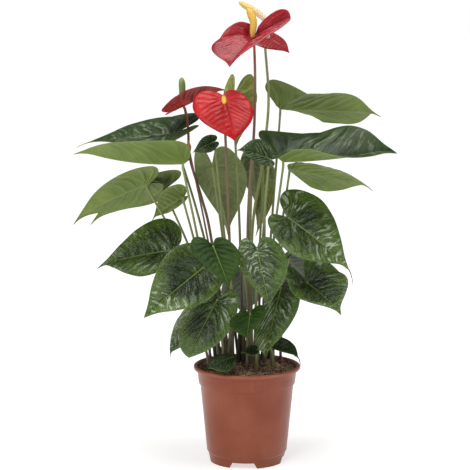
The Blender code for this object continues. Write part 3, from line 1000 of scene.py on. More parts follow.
def vein_phase(u: np.ndarray, out: np.ndarray, spacing: float) -> np.ndarray:
    """A number that is whole along every side vein.

    Side veins leave the midrib and sweep towards the tip; behind the junction they fan out
    into the lobes.

    Args:
        u: Places along the midrib.
        out: Distances from it, in blade lengths.
        spacing: Distance between veins along the midrib, in blade lengths.

    Returns:
        The phase.
    """
    ahead = u - 0.42 * out - 1.0 * out * out
    first = np.arctan2(1.0, 0.42 + out)
    fan = -(np.arctan2(out, u) - first) * 0.20
    return np.where(ahead > 0, ahead, np.minimum(fan, 0.0)) / spacing


def smooth_edge(edge: list[tuple[float, float]], turn: np.ndarray) -> np.ndarray:
    """The margin at shares of the way round, in step with the solid's margin.

    Args:
        edge: Half of the margin, from the tip to the sinus.
        turn: Shares of the way round, from 0 to 1.

    Returns:
        Places along and across.
    """
    half = np.array(edge)
    last = len(half) - 1
    padded = np.vstack((2 * half[0] - half[1], half, 2 * half[-1] - half[-2]))
    place = np.where(turn <= 0.5, turn, 1 - turn) * 2 * last
    span = np.clip(np.floor(place), 0, last - 1).astype(int)
    t = (place - span)[:, None]
    spots = between([padded[span + step] for step in range(4)], t)
    spots[:, 1] = np.maximum(spots[:, 1], 0.0) * np.where(turn <= 0.5, 1.0, -1.0)
    return spots


def clouded(x: np.ndarray, y: np.ndarray, seed: float, octaves: int) -> np.ndarray:
    """Cloudy numbers around 0 for many places.

    Args:
        x: Places along.
        y: Places across.
        seed: Which layer of the clouds.
        octaves: How many finer layers are added.

    Returns:
        One number for each place.
    """
    return np.array([noise.fractal(Vector((a, b, seed)), 0.8, 2.0, octaves)
                     for a, b in zip(x.tolist(), y.tolist())])


@dataclass(frozen=True)
class Foliage:
    """How the blades of one kind are made.

    Edge is half of the margin. Columns and rings are faces round the margin and out to it,
    and centre is the place on the midrib where the rings close. Half width and spacing lay
    out the side veins, in blade lengths. Thickness is in millimetres.
    """

    edge: tuple[tuple[float, float], ...]
    columns: int
    rings: int
    centre: float
    thickness: float
    half_width: float
    spacing: float

    def grow(self, name: str, blade: Blade, quilt: float, faces: tuple[bpy.types.Material, ...],
             rng: np.random.Generator, flat: float = 0.0) -> bpy.types.Object:
        """Bend a grid into a blade and give it thickness.

        Args:
            name: The piece's name.
            blade: Where it lies.
            quilt: How far it swells between its veins, in millimetres.
            faces: The materials of its upper and lower face.
            rng: The plant's random numbers.
            flat: Radius of the level seat at the junction.

        Returns:
            The blade.
        """
        piece, turn, ring = sheet(name, self.columns, self.rings)
        margin = smooth_edge(blade.outline(self.edge), turn)
        u = self.centre + (margin[:, 0] - self.centre) * ring
        v = margin[:, 1] * ring
        seed = float(rng.uniform(0.0, 90.0))
        wander = clouded(u * 2.6, v * 1.7, seed, 2)
        phase = vein_phase(u, np.abs(v) * self.half_width, self.spacing)
        phase = phase + 0.42 * wander * np.clip(np.abs(v) / 0.2, 0.0, 1.0)
        relief = self.swelling(u, v, ring, phase, quilt, seed)
        for order, start in zip((5, 8, 13), rng.uniform(0.0, math.tau, 3)):
            relief += 1.5 / order * np.sin(math.tau * order * turn + start) * ring ** 4
        put(piece, blade.surface(u, v, ring, turn, flat, relief))
        note(piece, "flat", np.column_stack((u, v, phase)))
        note(piece, "reach", ring)
        note(piece, "along", np.zeros(len(turn)))
        weld(piece, outwards=False)
        normal = Vector(blade.normal)
        if sum(face.normal.dot(normal) * face.area for face in piece.data.polygons) < 0:
            bpy.ops.object.mode_set(mode="EDIT")
            bpy.ops.mesh.select_all(action="SELECT")
            bpy.ops.mesh.flip_normals()
            bpy.ops.object.mode_set(mode="OBJECT")
        for face in faces:
            piece.data.materials.append(face)
        thicken = piece.modifiers.new("Thickness", "SOLIDIFY")
        thicken.thickness = self.thickness * MM
        thicken.offset = -1.0
        thicken.material_offset = 1
        thicken.material_offset_rim = 1
        bake_modifiers(piece)
        smoothed(piece, 60.0)
        return piece

    def swelling(self, u: np.ndarray, v: np.ndarray, ring: np.ndarray, phase: np.ndarray,
                 quilt: float, seed: float) -> np.ndarray:
        """The relief of a blade: sunken veins, pillows between them and small puckers.

        Args:
            u: Places along the midrib.
            v: Places across.
            ring: Shares of the way to the margin.
            phase: A number that is whole along every side vein.
            quilt: How far it swells, in millimetres.
            seed: Where in the clouds this blade's puckers are taken from.

        Returns:
            Heights in millimetres.
        """
        from_vein = np.abs((phase + 0.5) % 1.0 - 0.5)
        pillow = 1 - np.exp(-(from_vein / 0.16) ** 2)
        beside = np.clip(np.abs(v) / 0.10, 0.0, 1.0)
        inside = 1 - ring ** 8
        puckers = clouded(phase * 1.7, v * 3.0, seed + 7.0, 3)
        dents = clouded(u * 9.0, v * 5.0, seed + 31.0, 3)
        relief = quilt * (pillow - 0.75 + 0.55 * puckers + 0.30 * dents) * beside * inside
        relief -= 0.6 * quilt * np.exp(-(np.abs(v) / 0.045) ** 2) * inside
        return relief - 1.2 * np.clip((ring - 0.90) / 0.10, 0.0, 1.0) ** 2


LEAF_BLADE = Foliage(LEAF_EDGE, columns=176, rings=26, centre=0.10, thickness=LEAF_THICKNESS,
                     half_width=0.36, spacing=0.135)
SPATHE_BLADE = Foliage(SPATHE_EDGE, columns=192, rings=28, centre=0.0,
                       thickness=SPATHE_THICKNESS, half_width=0.42, spacing=0.115)


@dataclass(frozen=True)
class Leaf:
    """A leaf: its blade and, grown together with it, its stalk."""

    name: str
    foot: tuple[float, float]
    blade: Blade
    kind: LeafKind = LeafKind.QUILTED
    lean: float = 1.4
    via: tuple[Point, ...] = ()
    quilt: float = 1.9
    tail: Point = (0.0, 0.0, 0.0)
    slot: str = "leaf"

    def build(self, palette: "Palette", rng: np.random.Generator) -> bpy.types.Object:
        """Make the leaf.

        Args:
            palette: The plant's finishes.
            rng: The plant's random numbers.

        Returns:
            The finished piece.
        """
        piece = LEAF_BLADE.grow(self.name + "_grown", self.blade, self.quilt,
                                palette.leaf[self.kind], rng)
        normal = self.blade.normal
        end = self.blade.junction_point() - normal * LEAF_STALK_SINK
        stalk = LEAF_STALK.grow("stalk", self.foot, end, normal, self.lean, self.via,
                                palette.stalk[StalkKind.LEAF])
        upper, lower = palette.leaf[self.kind]
        extras = self.ribs(lower)
        if any(self.tail):
            extras.append(self.drip_tail(upper))
        return joined(piece, stalk, *extras)

    def drip_tail(self, face: bpy.types.Material) -> bpy.types.Object:
        """The thin dry tail that hangs from the tip.

        Args:
            face: The material of the leaf's upper face.

        Returns:
            The tail.
        """
        tip = np.array(self.blade.tip, float)
        _, along, _, _, normal = self.blade.frame()
        drop = normal * float(np.linalg.norm(along)) * self.blade.drip
        ahead = along / np.linalg.norm(along)
        tail = np.array(self.tail)
        spots = [tip - drop - ahead * 7.0 + normal * 0.6, tip - drop,
                 tip - drop + tail * 0.45 + ahead * 2.0, tip - drop + tail]
        path = curve_through(spots, 20)
        return tube("tail", path, np.linspace(1.1, 0.25, len(path)), 8, face)

    def ribs(self, face: bpy.types.Material) -> list[bpy.types.Object]:
        """The midrib and the two main side ribs, raised under the blade.

        Args:
            face: The material of the leaf's lower face.

        Returns:
            The ribs.
        """
        _, along, _, _, normal = self.blade.frame()
        size = min(1.0, float(np.linalg.norm(along)) / FULL_RIB_LENGTH)
        share = np.linspace(0.0, 1.0, 26)
        level = np.zeros(len(share))
        ribs = []
        lines = (("midrib", 0.93, 0.0, 1.25), ("left_rib", -0.17, 0.55, 0.8),
                 ("right_rib", -0.17, -0.55, 0.8))
        for name, last, across, thick in lines:
            spots = self.blade.surface(last * share, across * share ** 0.8, level, level)
            radii = thick * size * (1 - share) ** 0.8 + 0.12
            spots = spots - normal * (LEAF_THICKNESS + radii * 0.15)[:, None]
            ribs.append(tube(name, spots, radii, 8, face))
        return ribs


@dataclass(frozen=True)
class Bloom:
    """A bloom: its stalk, its spathe and its spadix."""

    name: str
    foot: tuple[float, float]
    blade: Blade
    spadix: tuple[Point, ...]
    spadix_kind: SpadixKind = SpadixKind.YELLOW
    stalk_kind: StalkKind = StalkKind.BROWN
    spadix_radius: float = 5.5
    lean: float = 1.2
    via: tuple[Point, ...] = ()
    quilt: float = 1.1
    crimson: bool = False

    def build(self, palette: "Palette", rng: np.random.Generator) -> None:
        """Make the bloom's three pieces and hand them over.

        Args:
            palette: The plant's finishes.
            rng: The plant's random numbers.
        """
        spathe = SPATHE_BLADE.grow(self.name + "_spathe_grown", self.blade, self.quilt,
                                   palette.spathe[self.crimson], rng, SPATHE_FLAT)
        hand_over(spathe, "spathe", self.name + "_spathe")
        normal = self.blade.normal
        root = self.blade.junction_point(SPATHE_FLAT)
        end = root - normal * (CAD_SPATHE_THICKNESS * 0.5)
        stalk = BLOOM_STALK.grow(self.name + "_stalk_grown", self.foot, end, normal, self.lean,
                                 self.via, palette.stalk[self.stalk_kind])
        slot = "green_stalk" if self.stalk_kind is StalkKind.OLIVE else "brown_stalk"
        hand_over(stalk, slot, self.name + "_stalk")
        points = [root - normal * 0.2, root + normal * 5.0]
        points += [root + np.array(step, float) for step in self.spadix]
        spadix = floret_finger(self.name + "_spadix_grown", points, self.spadix_radius,
                               palette.spadix[self.spadix_kind])
        slot = "green_spadix" if self.spadix_kind is SpadixKind.GREEN else "spadix"
        hand_over(spadix, slot, self.name + "_spadix")


def floret_finger(name: str, points: list[np.ndarray], radius: float, skin: bpy.types.Material,
                  ridge: float = 0.28, rings: int = 76, sides: int = 40) -> bpy.types.Object:
    """A tapering finger set with rows of small florets.

    Args:
        name: The piece's name.
        points: The line it follows.
        radius: Its radius where it is widest.
        skin: Its material.
        ridge: How far a floret stands out, in millimetres.
        rings: Rows of faces along it.
        sides: Faces around it.

    Returns:
        The finger.
    """
    path = curve_through(points, rings)
    share = np.linspace(0.0, 1.0, rings + 1)
    width = radius * (0.62 + 0.38 * np.sin(math.pi * np.minimum(1.0, share * 1.35) * 0.5))
    end = np.maximum(0.0, (share - 0.72) / 0.28)
    width = width * np.sqrt(np.maximum(0.004, 1 - end ** 2.2))
    row = np.arange(rings + 1)[:, None] * (math.tau / 4.0)
    around = np.arange(sides)[None, :] * (math.tau / 4.0)
    ripple = ridge * np.cos((row + around) / 2) * np.cos((row - around) / 2)
    ripple = ripple * (width / radius)[:, None]
    return tube(name, path, width, sides, skin, ripple)


LEAVES = (
    Leaf("leaf_left_top", (-32, 18), Blade((-118, 60, 520), (-273, 50, 506),
         (-152, 0, 505), (-148, 125, 539), arch=-0.01, lobes=0.05, back=1.25, plump=1.35),
         kind=LeafKind.GLOSSY),
    Leaf("leaf_left_near", (-40, -8), Blade((-99, -40, 482), (-268, -30, 504),
         (-147, -95, 524), (-145, 20, 503), arch=-0.05, back=0.45), lean=1.0,
         kind=LeafKind.GLOSSY, slot="leaf_underside"),
    Leaf("leaf_left_back", (-46, 8), Blade((-159, 30, 441), (-284, 100, 374),
         (-197, 5, 463), (-181, 80, 400), back=0.9),
         kind=LeafKind.GLOSSY, slot="leaf_underside"),
    Leaf("leaf_left_behind", (-42, 20), Blade((-133, 60, 431), (-259, 130, 370),
         (-157, 30, 457), (-158, 110, 399)),
         kind=LeafKind.GLOSSY, slot="leaf_underside"),
    Leaf("leaf_left_small", (-50, -2), Blade((-101, 20, 422), (-153, 65, 382),
         (-127, -5, 440), (-123, 50, 394)),
         kind=LeafKind.GLOSSY, slot="leaf_underside"),
    Leaf("leaf_left_low", (-58, -12), Blade((-116, -20, 343), (-232, -60, 325),
         (-161, -75, 312), (-143, 15, 387), back=0.6), lean=2.2),
    Leaf("leaf_front_left", (-44, -26), Blade((-69, -55, 320), (-155, -130, 259),
         (-56, -105, 282), (-119, -80, 350), plump=0.75)),
    Leaf("leaf_front_heart", (-30, -30), Blade((-52, -95, 360), (-27, -135, 302),
         (-11, -105, 350), (-84, -105, 353)),
         via=((-26, -40, 240), (-27, -62, 305)),
         kind=LeafKind.YOUNG, slot="young_leaf"),
    Leaf("leaf_front_middle", (12, -24), Blade((15, -80, 353), (34, -115, 267),
         (62, -85, 334), (-13, -85, 331))),
    Leaf("leaf_right_near", (42, 0), Blade((65, -40, 396), (158, -75, 323),
         (117, -10, 422), (67, -80, 346), back=1.15), lean=3.0, tail=(6.0, -3.0, -24.0)),
    Leaf("leaf_right_low", (54, 8), Blade((93, -45, 296), (143, -105, 259),
         (153, -55, 309), (75, -85, 280), lobes=0.2, back=1.5), lean=3.5),
    Leaf("leaf_rim_left", (-36, -40), Blade((-47, -60, 270), (-92, -78, 183),
         (-25, -80, 230), (-98, -62, 236), back=1.3, plump=0.6)),
    Leaf("leaf_rim_behind", (-60, -24), Blade((-88, -24, 250), (-125, -30, 174),
         (-84, -40, 208), (-112, 12, 224))),
    Leaf("leaf_rim_heart", (0, -34), Blade((4, -85, 253), (-1, -105, 217),
         (27, -88, 257), (-28, -88, 238)), lean=3.0,
         kind=LeafKind.YOUNG, slot="young_leaf"),
    Leaf("leaf_rim_right", (16, -32), Blade((53, -35, 285), (27, -55, 179),
         (79, -58, 257), (12, -50, 224), plump=0.85), lean=2.5),
    Leaf("leaf_over_rim", (40, -20), Blade((39, -26, 192), (81, -40, 177),
         (62, -4, 199), (53, -52, 188), plump=0.7),
         kind=LeafKind.GLOSSY, tail=(2.5, -3.0, -18.0)),
    Leaf("leaf_in_pot", (-22, -48), Blade((-24, -56, 179), (-59, -84, 170),
         (-31, -90, 165), (-47, -62, 184), plump=0.7),
         kind=LeafKind.GLOSSY),
    Leaf("leaf_seedling", (14, -40), Blade((14, -71, 194), (-10, -82, 193),
         (7, -89, 189), (7, -67, 201)),
         kind=LeafKind.GLOSSY),
    Leaf("leaf_middle_back", (-22, 24), Blade((-54, 30, 470), (-29, 90, 352),
         (-80, 55, 448), (0, 50, 452), back=1.25),
         kind=LeafKind.SHADED, slot="leaf_underside"),
    Leaf("leaf_left_dark", (-14, 14), Blade((-52, 2, 511), (-86, -2, 495),
         (-58, -8, 496), (-66, 6, 520)), lean=1.0,
         kind=LeafKind.GLOSSY),
    Leaf("leaf_middle_dark", (18, 4), Blade((34, -104, 494), (-16, -112, 510),
         (15, -122, 490), (19, -98, 524), arch=0.06), lean=1.9,
         kind=LeafKind.GLOSSY),
    Leaf("leaf_back_high", (2, 28), Blade((9, 95, 476), (16, 150, 393),
         (-11, 112, 452), (42, 112, 452)),
         kind=LeafKind.SHADED, slot="leaf_underside"),
    Leaf("leaf_back_narrow", (12, 26), Blade((30, 44, 475), (44, 60, 427),
         (23, 56, 461), (45, 36, 463)),
         kind=LeafKind.SHADED, slot="leaf_underside"),
    Leaf("leaf_back_middle", (26, 30), Blade((31, 86, 435), (17, 128, 345),
         (15, 110, 406), (45, 100, 412)),
         kind=LeafKind.OLIVE, slot="leaf_underside"),
    Leaf("leaf_behind_bloom", (-6, 12), Blade((-21, 15, 580), (-17, 55, 496),
         (-36, 35, 576), (16, 25, 578), lobes=0.3),
         kind=LeafKind.OLIVE, slot="leaf_underside"),
    Leaf("leaf_right_top", (24, 16), Blade((54, 85, 558), (218, 105, 551),
         (155, 150, 531), (123, 30, 584), arch=0.0, lobes=0.2, twist=-20), lean=1.0,
         kind=LeafKind.GLOSSY, slot="leaf_underside"),
    Leaf("leaf_right_wide", (28, -6), Blade((55, -40, 485), (230, -45, 507),
         (117, 30, 526), (96, -95, 508), arch=-0.03, lobes=0.17, twist=50, heel_left=-20,
         heel_right=62, back=1.1),
         kind=LeafKind.GLOSSY),
    Leaf("leaf_right_under", (36, 12), Blade((67, 5, 469), (203, 60, 435),
         (126, 72, 428), (119, -30, 475), arch=0.0, back=0.4),
         kind=LeafKind.GLOSSY, slot="leaf_underside"),
    Leaf("leaf_rear_left", (-36, 34), Blade((-54, 52, 320), (-128, 168, 236),
         (-112, 112, 302), (-60, 116, 258)),
         kind=LeafKind.DEEP),
    Leaf("leaf_rear_right", (36, 34), Blade((64, 50, 318), (128, 165, 240),
         (62, 118, 262), (116, 102, 305)),
         kind=LeafKind.DEEP),
    Leaf("leaf_rear_low", (10, 42), Blade((-4, 86, 290), (-6, 176, 200),
         (-42, 122, 252), (32, 122, 252)),
         kind=LeafKind.DEEP),
)

BLOOMS = (
    Bloom("bloom_top", (6, -4), Blade((9, -20, 675), (-28, -75, 635),
          (64, -8, 700), (-51, -30, 667), lobes=0.24),
          ((0, 0, 24), (-8, 6, 44)), stalk_kind=StalkKind.ROSY, crimson=True, spadix_radius=6.0,
          via=((1, -12, 340), (4, -28, 450), (10, -38, 525), (12, -34, 600))),
    Bloom("bloom_second", (8, 14), Blade((31, 30, 672), (67, 10, 652),
          (46, 70, 679), (15, -4, 662)),
          ((-5, 2, 31), (-44, 6, 56)), spadix_kind=SpadixKind.CREAM, stalk_kind=StalkKind.OLIVE,
          crimson=True,
          via=((8, 16, 360), (24, 26, 474), (34, 31, 570))),
    Bloom("bloom_left", (-28, 10), Blade((-102, 52, 565), (-32, 72, 591),
          (-89, 100, 569), (-99, 26, 589), back=1.7),
          ((-1, 4, 22), (-2, 5, 44)), SpadixKind.GREEN,
          via=((-57, 25, 355), (-72, 38, 417), (-91, 52, 480), (-94, 60, 527))),
    Bloom("bloom_front", (-22, 0), Blade((-36, -60, 582), (-19, -95, 522),
          (8, -68, 569), (-83, -68, 567)),
          ((0, -20, 2), (1, -44, -4)), spadix_radius=3.6),
)


@dataclass(frozen=True)
class Bud:
    """A young bloom, still a rolled red bud, on its own stalk."""

    foot: tuple[float, float] = (-34.0, 2.0)
    base: Point = (-91.0, 30.0, 494.0)
    tip: Point = (-94.0, 27.0, 514.0)
    radius: float = 4.0

    def build(self, palette: "Palette") -> None:
        """Make the bud and its stalk and hand them over.

        Args:
            palette: The plant's finishes.
        """
        end, tip = np.array(self.base), np.array(self.tip)
        ahead = (tip - end) / np.linalg.norm(tip - end)
        path = curve_through(stalk_route(self.foot, end, end - ahead * 6.0, 1.3), 44)
        stalk = tube("bud_stalk_grown", path, np.linspace(1.9, 1.4, len(path)), 12,
                     palette.stalk[StalkKind.BROWN])
        hand_over(stalk, "brown_stalk", "bud_stalk")
        path = curve_through([end - ahead * 0.2, (end + tip) / 2, tip], 36)
        share = np.linspace(0.0, 1.0, len(path))
        width = self.radius * 0.92 * (0.55 + 0.45 * np.sin(math.pi * np.minimum(1.0, share * 1.5)))
        width *= np.sqrt(np.maximum(0.01, 1 - np.maximum(0.0, (share - 0.45) / 0.55) ** 1.6))
        turn = math.tau * np.arange(28)[None, :] / 28 - share[:, None] * 7.0
        fold = 0.45 * np.maximum(0.0, np.cos(turn)) ** 3 * (width / self.radius)[:, None]
        bud = tube("bud_grown", path, width, 28, palette.spadix[SpadixKind.BUD], fold)
        hand_over(bud, "spathe", "bud")


def turned(name: str, profile: list[tuple[float, float]], steps: int) -> bpy.types.Object:
    """Draw a profile as a chain of edges and spin it around the pot's axis.

    Args:
        name: The piece's name.
        profile: Radii and heights, in millimetres.
        steps: Faces around.

    Returns:
        The closed shape.
    """
    bpy.ops.object.select_all(action="DESELECT")
    bpy.ops.mesh.primitive_plane_add(size=1.0)
    piece = bpy.context.object
    piece.name = name
    piece.data.name = name
    chain = [to_scene((radius, 0.0, height)) for radius, height in profile]
    bpy.ops.object.mode_set(mode="EDIT")
    bpy.ops.mesh.select_all(action="SELECT")
    bpy.ops.mesh.merge(type="CENTER")
    bpy.ops.transform.translate(value=tuple(chain[0]))
    for before, after in zip(chain, chain[1:]):
        move = {"value": tuple(after - before)}
        bpy.ops.mesh.extrude_vertices_move(TRANSFORM_OT_translate=move)
    bpy.ops.mesh.select_all(action="SELECT")
    bpy.ops.mesh.spin(steps=steps, angle=math.tau, center=tuple(to_scene((0, 0, 0))),
                      axis=(0, 0, 1))
    bpy.ops.object.mode_set(mode="OBJECT")
    weld(piece)
    return piece


@dataclass(frozen=True)
class Pot:
    """The nursery pot: foot ring with notches, body, collar and rolled lip."""

    steps: int = 144
    notch_turns: tuple[float, ...] = (-96.0, -6.0, 84.0, 174.0)
    notch_top: float = 34.0
    notch_foot: float = 46.0
    notch_height: float = 9.0
    notch_inner: float = 48.0
    notch_outer: float = 68.0
    cut_below: float = 2.0
    drain_radius: float = 5.0
    drain_circle: float = 46.0
    drain_sides: int = 28
    drain_depth: float = 8.0
    drain_middle: float = 10.0
    drains: int = 8

    def profile(self) -> list[tuple[float, float]]:
        """Radii and heights, from under the floor, up the outside and down the inside."""
        return [
            (0.0, 9.5), (57.6, 9.5), (58.2, 8.9), (58.2, 0.3), (58.5, 0.0), (59.7, 0.0),
            (60.0, 0.3), (61.2, 13.0), (61.5, 14.2), (62.3, 15.4), (63.4, 16.1), (64.0, 17.4),
            (66.6, 44.0), (69.2, 71.0), (71.9, 98.0), (74.4, 124.0), (74.7, 125.0),
            (75.4, 125.8), (76.5, 126.3), (76.95, 127.2), (78.2, 138.0), (79.4, 148.2),
            (80.0, 148.9), (83.6, 149.0), (84.6, 149.5), (85.0, 150.5), (85.0, 152.6),
            (84.6, 154.0), (83.6, 154.8), (82.4, 155.0), (81.2, 154.9), (80.2, 154.3),
            (79.2, 152.6), (78.2, 149.6), (75.6, 128.3), (75.0, 127.3), (73.2, 126.4),
            (72.8, 125.4), (67.8, 73.0), (62.6, 19.4), (61.8, 17.8), (60.0, 16.2),
            (59.5, 14.8), (59.1, 11.6), (58.4, 11.0), (0.0, 11.0),
        ]

    def cutter(self) -> bpy.types.Object:
        """One shape that takes out the foot notches and the drain holes."""
        shapes = []
        for turn in self.notch_turns:
            bpy.ops.object.select_all(action="DESELECT")
            bpy.ops.mesh.primitive_cube_add(size=2.0)
            notch = bpy.context.object
            angle = math.radians(turn)
            spots = []
            for corner in notch.data.vertices:
                upper = corner.co.z > 0
                out = self.notch_outer if corner.co.x > 0 else self.notch_inner
                side = math.copysign((self.notch_top if upper else self.notch_foot) / 2,
                                     corner.co.y)
                spots.append((out * math.cos(angle) - side * math.sin(angle),
                              out * math.sin(angle) + side * math.cos(angle),
                              self.notch_height if upper else -self.cut_below))
            put(notch, np.array(spots))
            shapes.append(notch)
        for index in range(self.drains):
            angle = math.tau * (index + 0.5) / self.drains
            centre = to_scene((math.cos(angle) * self.drain_circle,
                               math.sin(angle) * self.drain_circle, self.drain_middle))
            bpy.ops.object.select_all(action="DESELECT")
            bpy.ops.mesh.primitive_cylinder_add(
                vertices=self.drain_sides, radius=self.drain_radius * MM,
                depth=self.drain_depth * MM, location=tuple(centre))
            hole = bpy.context.object
            bpy.ops.object.transform_apply(location=True, rotation=False, scale=False)
            shapes.append(hole)
        return joined(*shapes)

    def build(self, palette: "Palette") -> None:
        """Make the pot and hand it over.

        Args:
            palette: The plant's finishes.
        """
        pot = turned("pot_moulded", self.profile(), self.steps)
        cutter = self.cutter()
        carve = pot.modifiers.new("Notches", "BOOLEAN")
        carve.operation = "DIFFERENCE"
        carve.solver = "EXACT"
        carve.object = cutter
        bake_modifiers(pot)
        bpy.data.objects.remove(cutter)
        pot.data.materials.clear()
        pot.data.materials.append(palette.plastic)
        smoothed(pot, 38.0)
        hand_over(pot, "terracotta_plastic", "pot")


@dataclass(frozen=True)
class Soil:
    """Peat that fills the pot, with crumbs, a fibrous lump and stray fibres on it."""

    edge: float = 78.2
    columns: int = 180
    rows: int = 46
    crumbs: int = 900
    fibres: int = 260
    lump: Point = (38.0, -6.0, 8.0)
    lump_width: float = 15.0
    bank_from: float = 52.0
    crumb_reach: float = 77.5
    crumb_limit: float = 78.0
    fibre_reach: float = 68.0
    fibre_limit: float = 72.0

    def height(self, x: float, y: float) -> float:
        """The crumbly surface at a place, banked up against the lip."""
        spot = Vector((x, y, 3.0))
        away = math.hypot(x, y)
        calm = min(1.0, max(0.25, (self.edge - away) / 10.0))
        rough = 1.5 * noise.fractal(spot * 0.09, 0.6, 2.0, 3)
        rough += 1.1 * noise.fractal(spot * 0.36, 0.7, 2.0, 3)
        from_lump = math.hypot(x - self.lump[0], y - self.lump[1]) / self.lump_width
        lump = self.lump[2] * math.exp(-from_lump ** 2) * (1 + 0.35 * noise.noise(spot * 0.2))
        bank = min(1.0, max(0.0, (away - self.bank_from) / (self.edge - self.bank_from)))
        level = float(soil_height(x, y)) * (1 - bank) + (SOIL_TOP - 0.6) * bank
        return level + rough * calm + lump

    def strewn(self, rng: np.random.Generator, on_lump: bool, spread: tuple[float, float],
               reach: float) -> tuple[float, float]:
        """A random place on the lump or anywhere on the soil.

        Args:
            rng: The plant's random numbers.
            on_lump: Whether it lies on the lump.
            spread: How far it strays from the lump's middle, along and across.
            reach: How far from the pot's axis it may lie elsewhere.

        Returns:
            The place.
        """
        if on_lump:
            return (self.lump[0] + rng.normal(0.0, spread[0]),
                    self.lump[1] + rng.normal(0.0, spread[1]))
        radius = reach * math.sqrt(rng.uniform(0.0, 1.0))
        angle = rng.uniform(0.0, math.tau)
        return radius * math.cos(angle), radius * math.sin(angle)

    def build(self, palette: "Palette", rng: np.random.Generator) -> None:
        """Make the soil and what lies on it, and hand them over.

        Args:
            palette: The plant's finishes.
            rng: The plant's random numbers.
        """
        walls = ((77.5, 147.0), (74.6, 128.4), (72.2, 125.4), (61.4, 20.0), (58.4, 15.0),
                 (58.0, 11.3), (0.0, 11.3))
        soil, turn, up = sheet("soil_crumbly", self.columns, self.rows + len(walls))
        row = np.rint(up * (self.rows + len(walls))).astype(int)
        spots = []
        for level, around in zip(row, turn):
            angle = math.tau * around
            if level <= self.rows:
                radius = self.edge * (level / self.rows) ** 0.9
                x, y = radius * math.cos(angle), radius * math.sin(angle)
                spots.append((x, y, self.height(round(x, 6), round(y, 6))))
            else:
                radius, z = walls[level - self.rows - 1]
                spots.append((radius * math.cos(angle), radius * math.sin(angle), z))
        put(soil, np.array(spots))
        weld(soil)
        soil.data.materials.append(palette.peat)
        smoothed(soil, 60.0)
        hand_over(soil, "peat", "soil")
        hand_over(self.scatter(palette, rng), "peat")
        hand_over(self.threads(palette, rng), "peat")

    def scatter(self, palette: "Palette", rng: np.random.Generator) -> bpy.types.Object:
        """Lay many small crumbs of peat over the soil.

        Args:
            palette: The plant's finishes.
            rng: The plant's random numbers.

        Returns:
            The crumbs, as one piece.
        """
        bpy.ops.object.select_all(action="DESELECT")
        bpy.ops.mesh.primitive_ico_sphere_add(subdivisions=1, radius=1.0)
        seed = bpy.context.object
        seed.name = "soil_crumbs"
        seed.data.materials.append(palette.peat)
        seed.data.materials.append(palette.bark)
        corners = np.array([tuple(corner.co) for corner in seed.data.vertices])
        crumbs = []
        for index in range(self.crumbs):
            on_lump = index % 5 == 0
            x, y = self.strewn(rng, on_lump, (11.0, 11.0), self.crumb_reach)
            size = rng.uniform(0.6, 1.9) * (1.35 if index % 11 == 0 else 1.0)
            if math.hypot(x, y) + size > self.crumb_limit:
                continue
            crumb = seed.copy()
            crumb.data = seed.data.copy()
            bpy.context.scene.collection.objects.link(crumb)
            shape = corners * rng.uniform(0.65, 1.25, corners.shape)
            shape *= size * rng.uniform(0.6, 1.3, 3)
            put(crumb, shape + (x, y, self.height(x, y) + size * 0.35))
            look = int(on_lump or rng.uniform(0.0, 1.0) < 0.25)
            crumb.data.polygons.foreach_set("material_index", [look] * len(crumb.data.polygons))
            crumbs.append(crumb)
        bpy.data.objects.remove(seed)
        piece = joined(*crumbs)
        smoothed(piece, 50.0)
        return piece

    def threads(self, palette: "Palette", rng: np.random.Generator) -> bpy.types.Object:
        """Strew thin tan fibres over the soil, most of them on the lump.

        Args:
            palette: The plant's finishes.
            rng: The plant's random numbers.

        Returns:
            The fibres, as one piece.
        """
        fibres = []
        for index in range(self.fibres):
            x, y = self.strewn(rng, index % 3 > 0, (9.0, 10.0), self.fibre_reach)
            heading = rng.uniform(0.0, math.tau)
            length = rng.uniform(5.0, 15.0)
            spots = []
            for _ in range(4):
                x += math.cos(heading) * length / 3
                y += math.sin(heading) * length / 3
                heading += rng.normal(0.0, 0.6)
                away = math.hypot(x, y)
                if away > self.fibre_limit:
                    x, y = x * self.fibre_limit / away, y * self.fibre_limit / away
                spots.append(np.array((x, y, self.height(x, y) + rng.uniform(0.3, 2.2))))
            path = curve_through(spots, 7)
            width = rng.uniform(0.25, 0.65) * np.linspace(1.0, 0.4, len(path))
            fibres.append(tube("soil_fibres", path, width, 5, palette.fibre))
        return joined(*fibres)


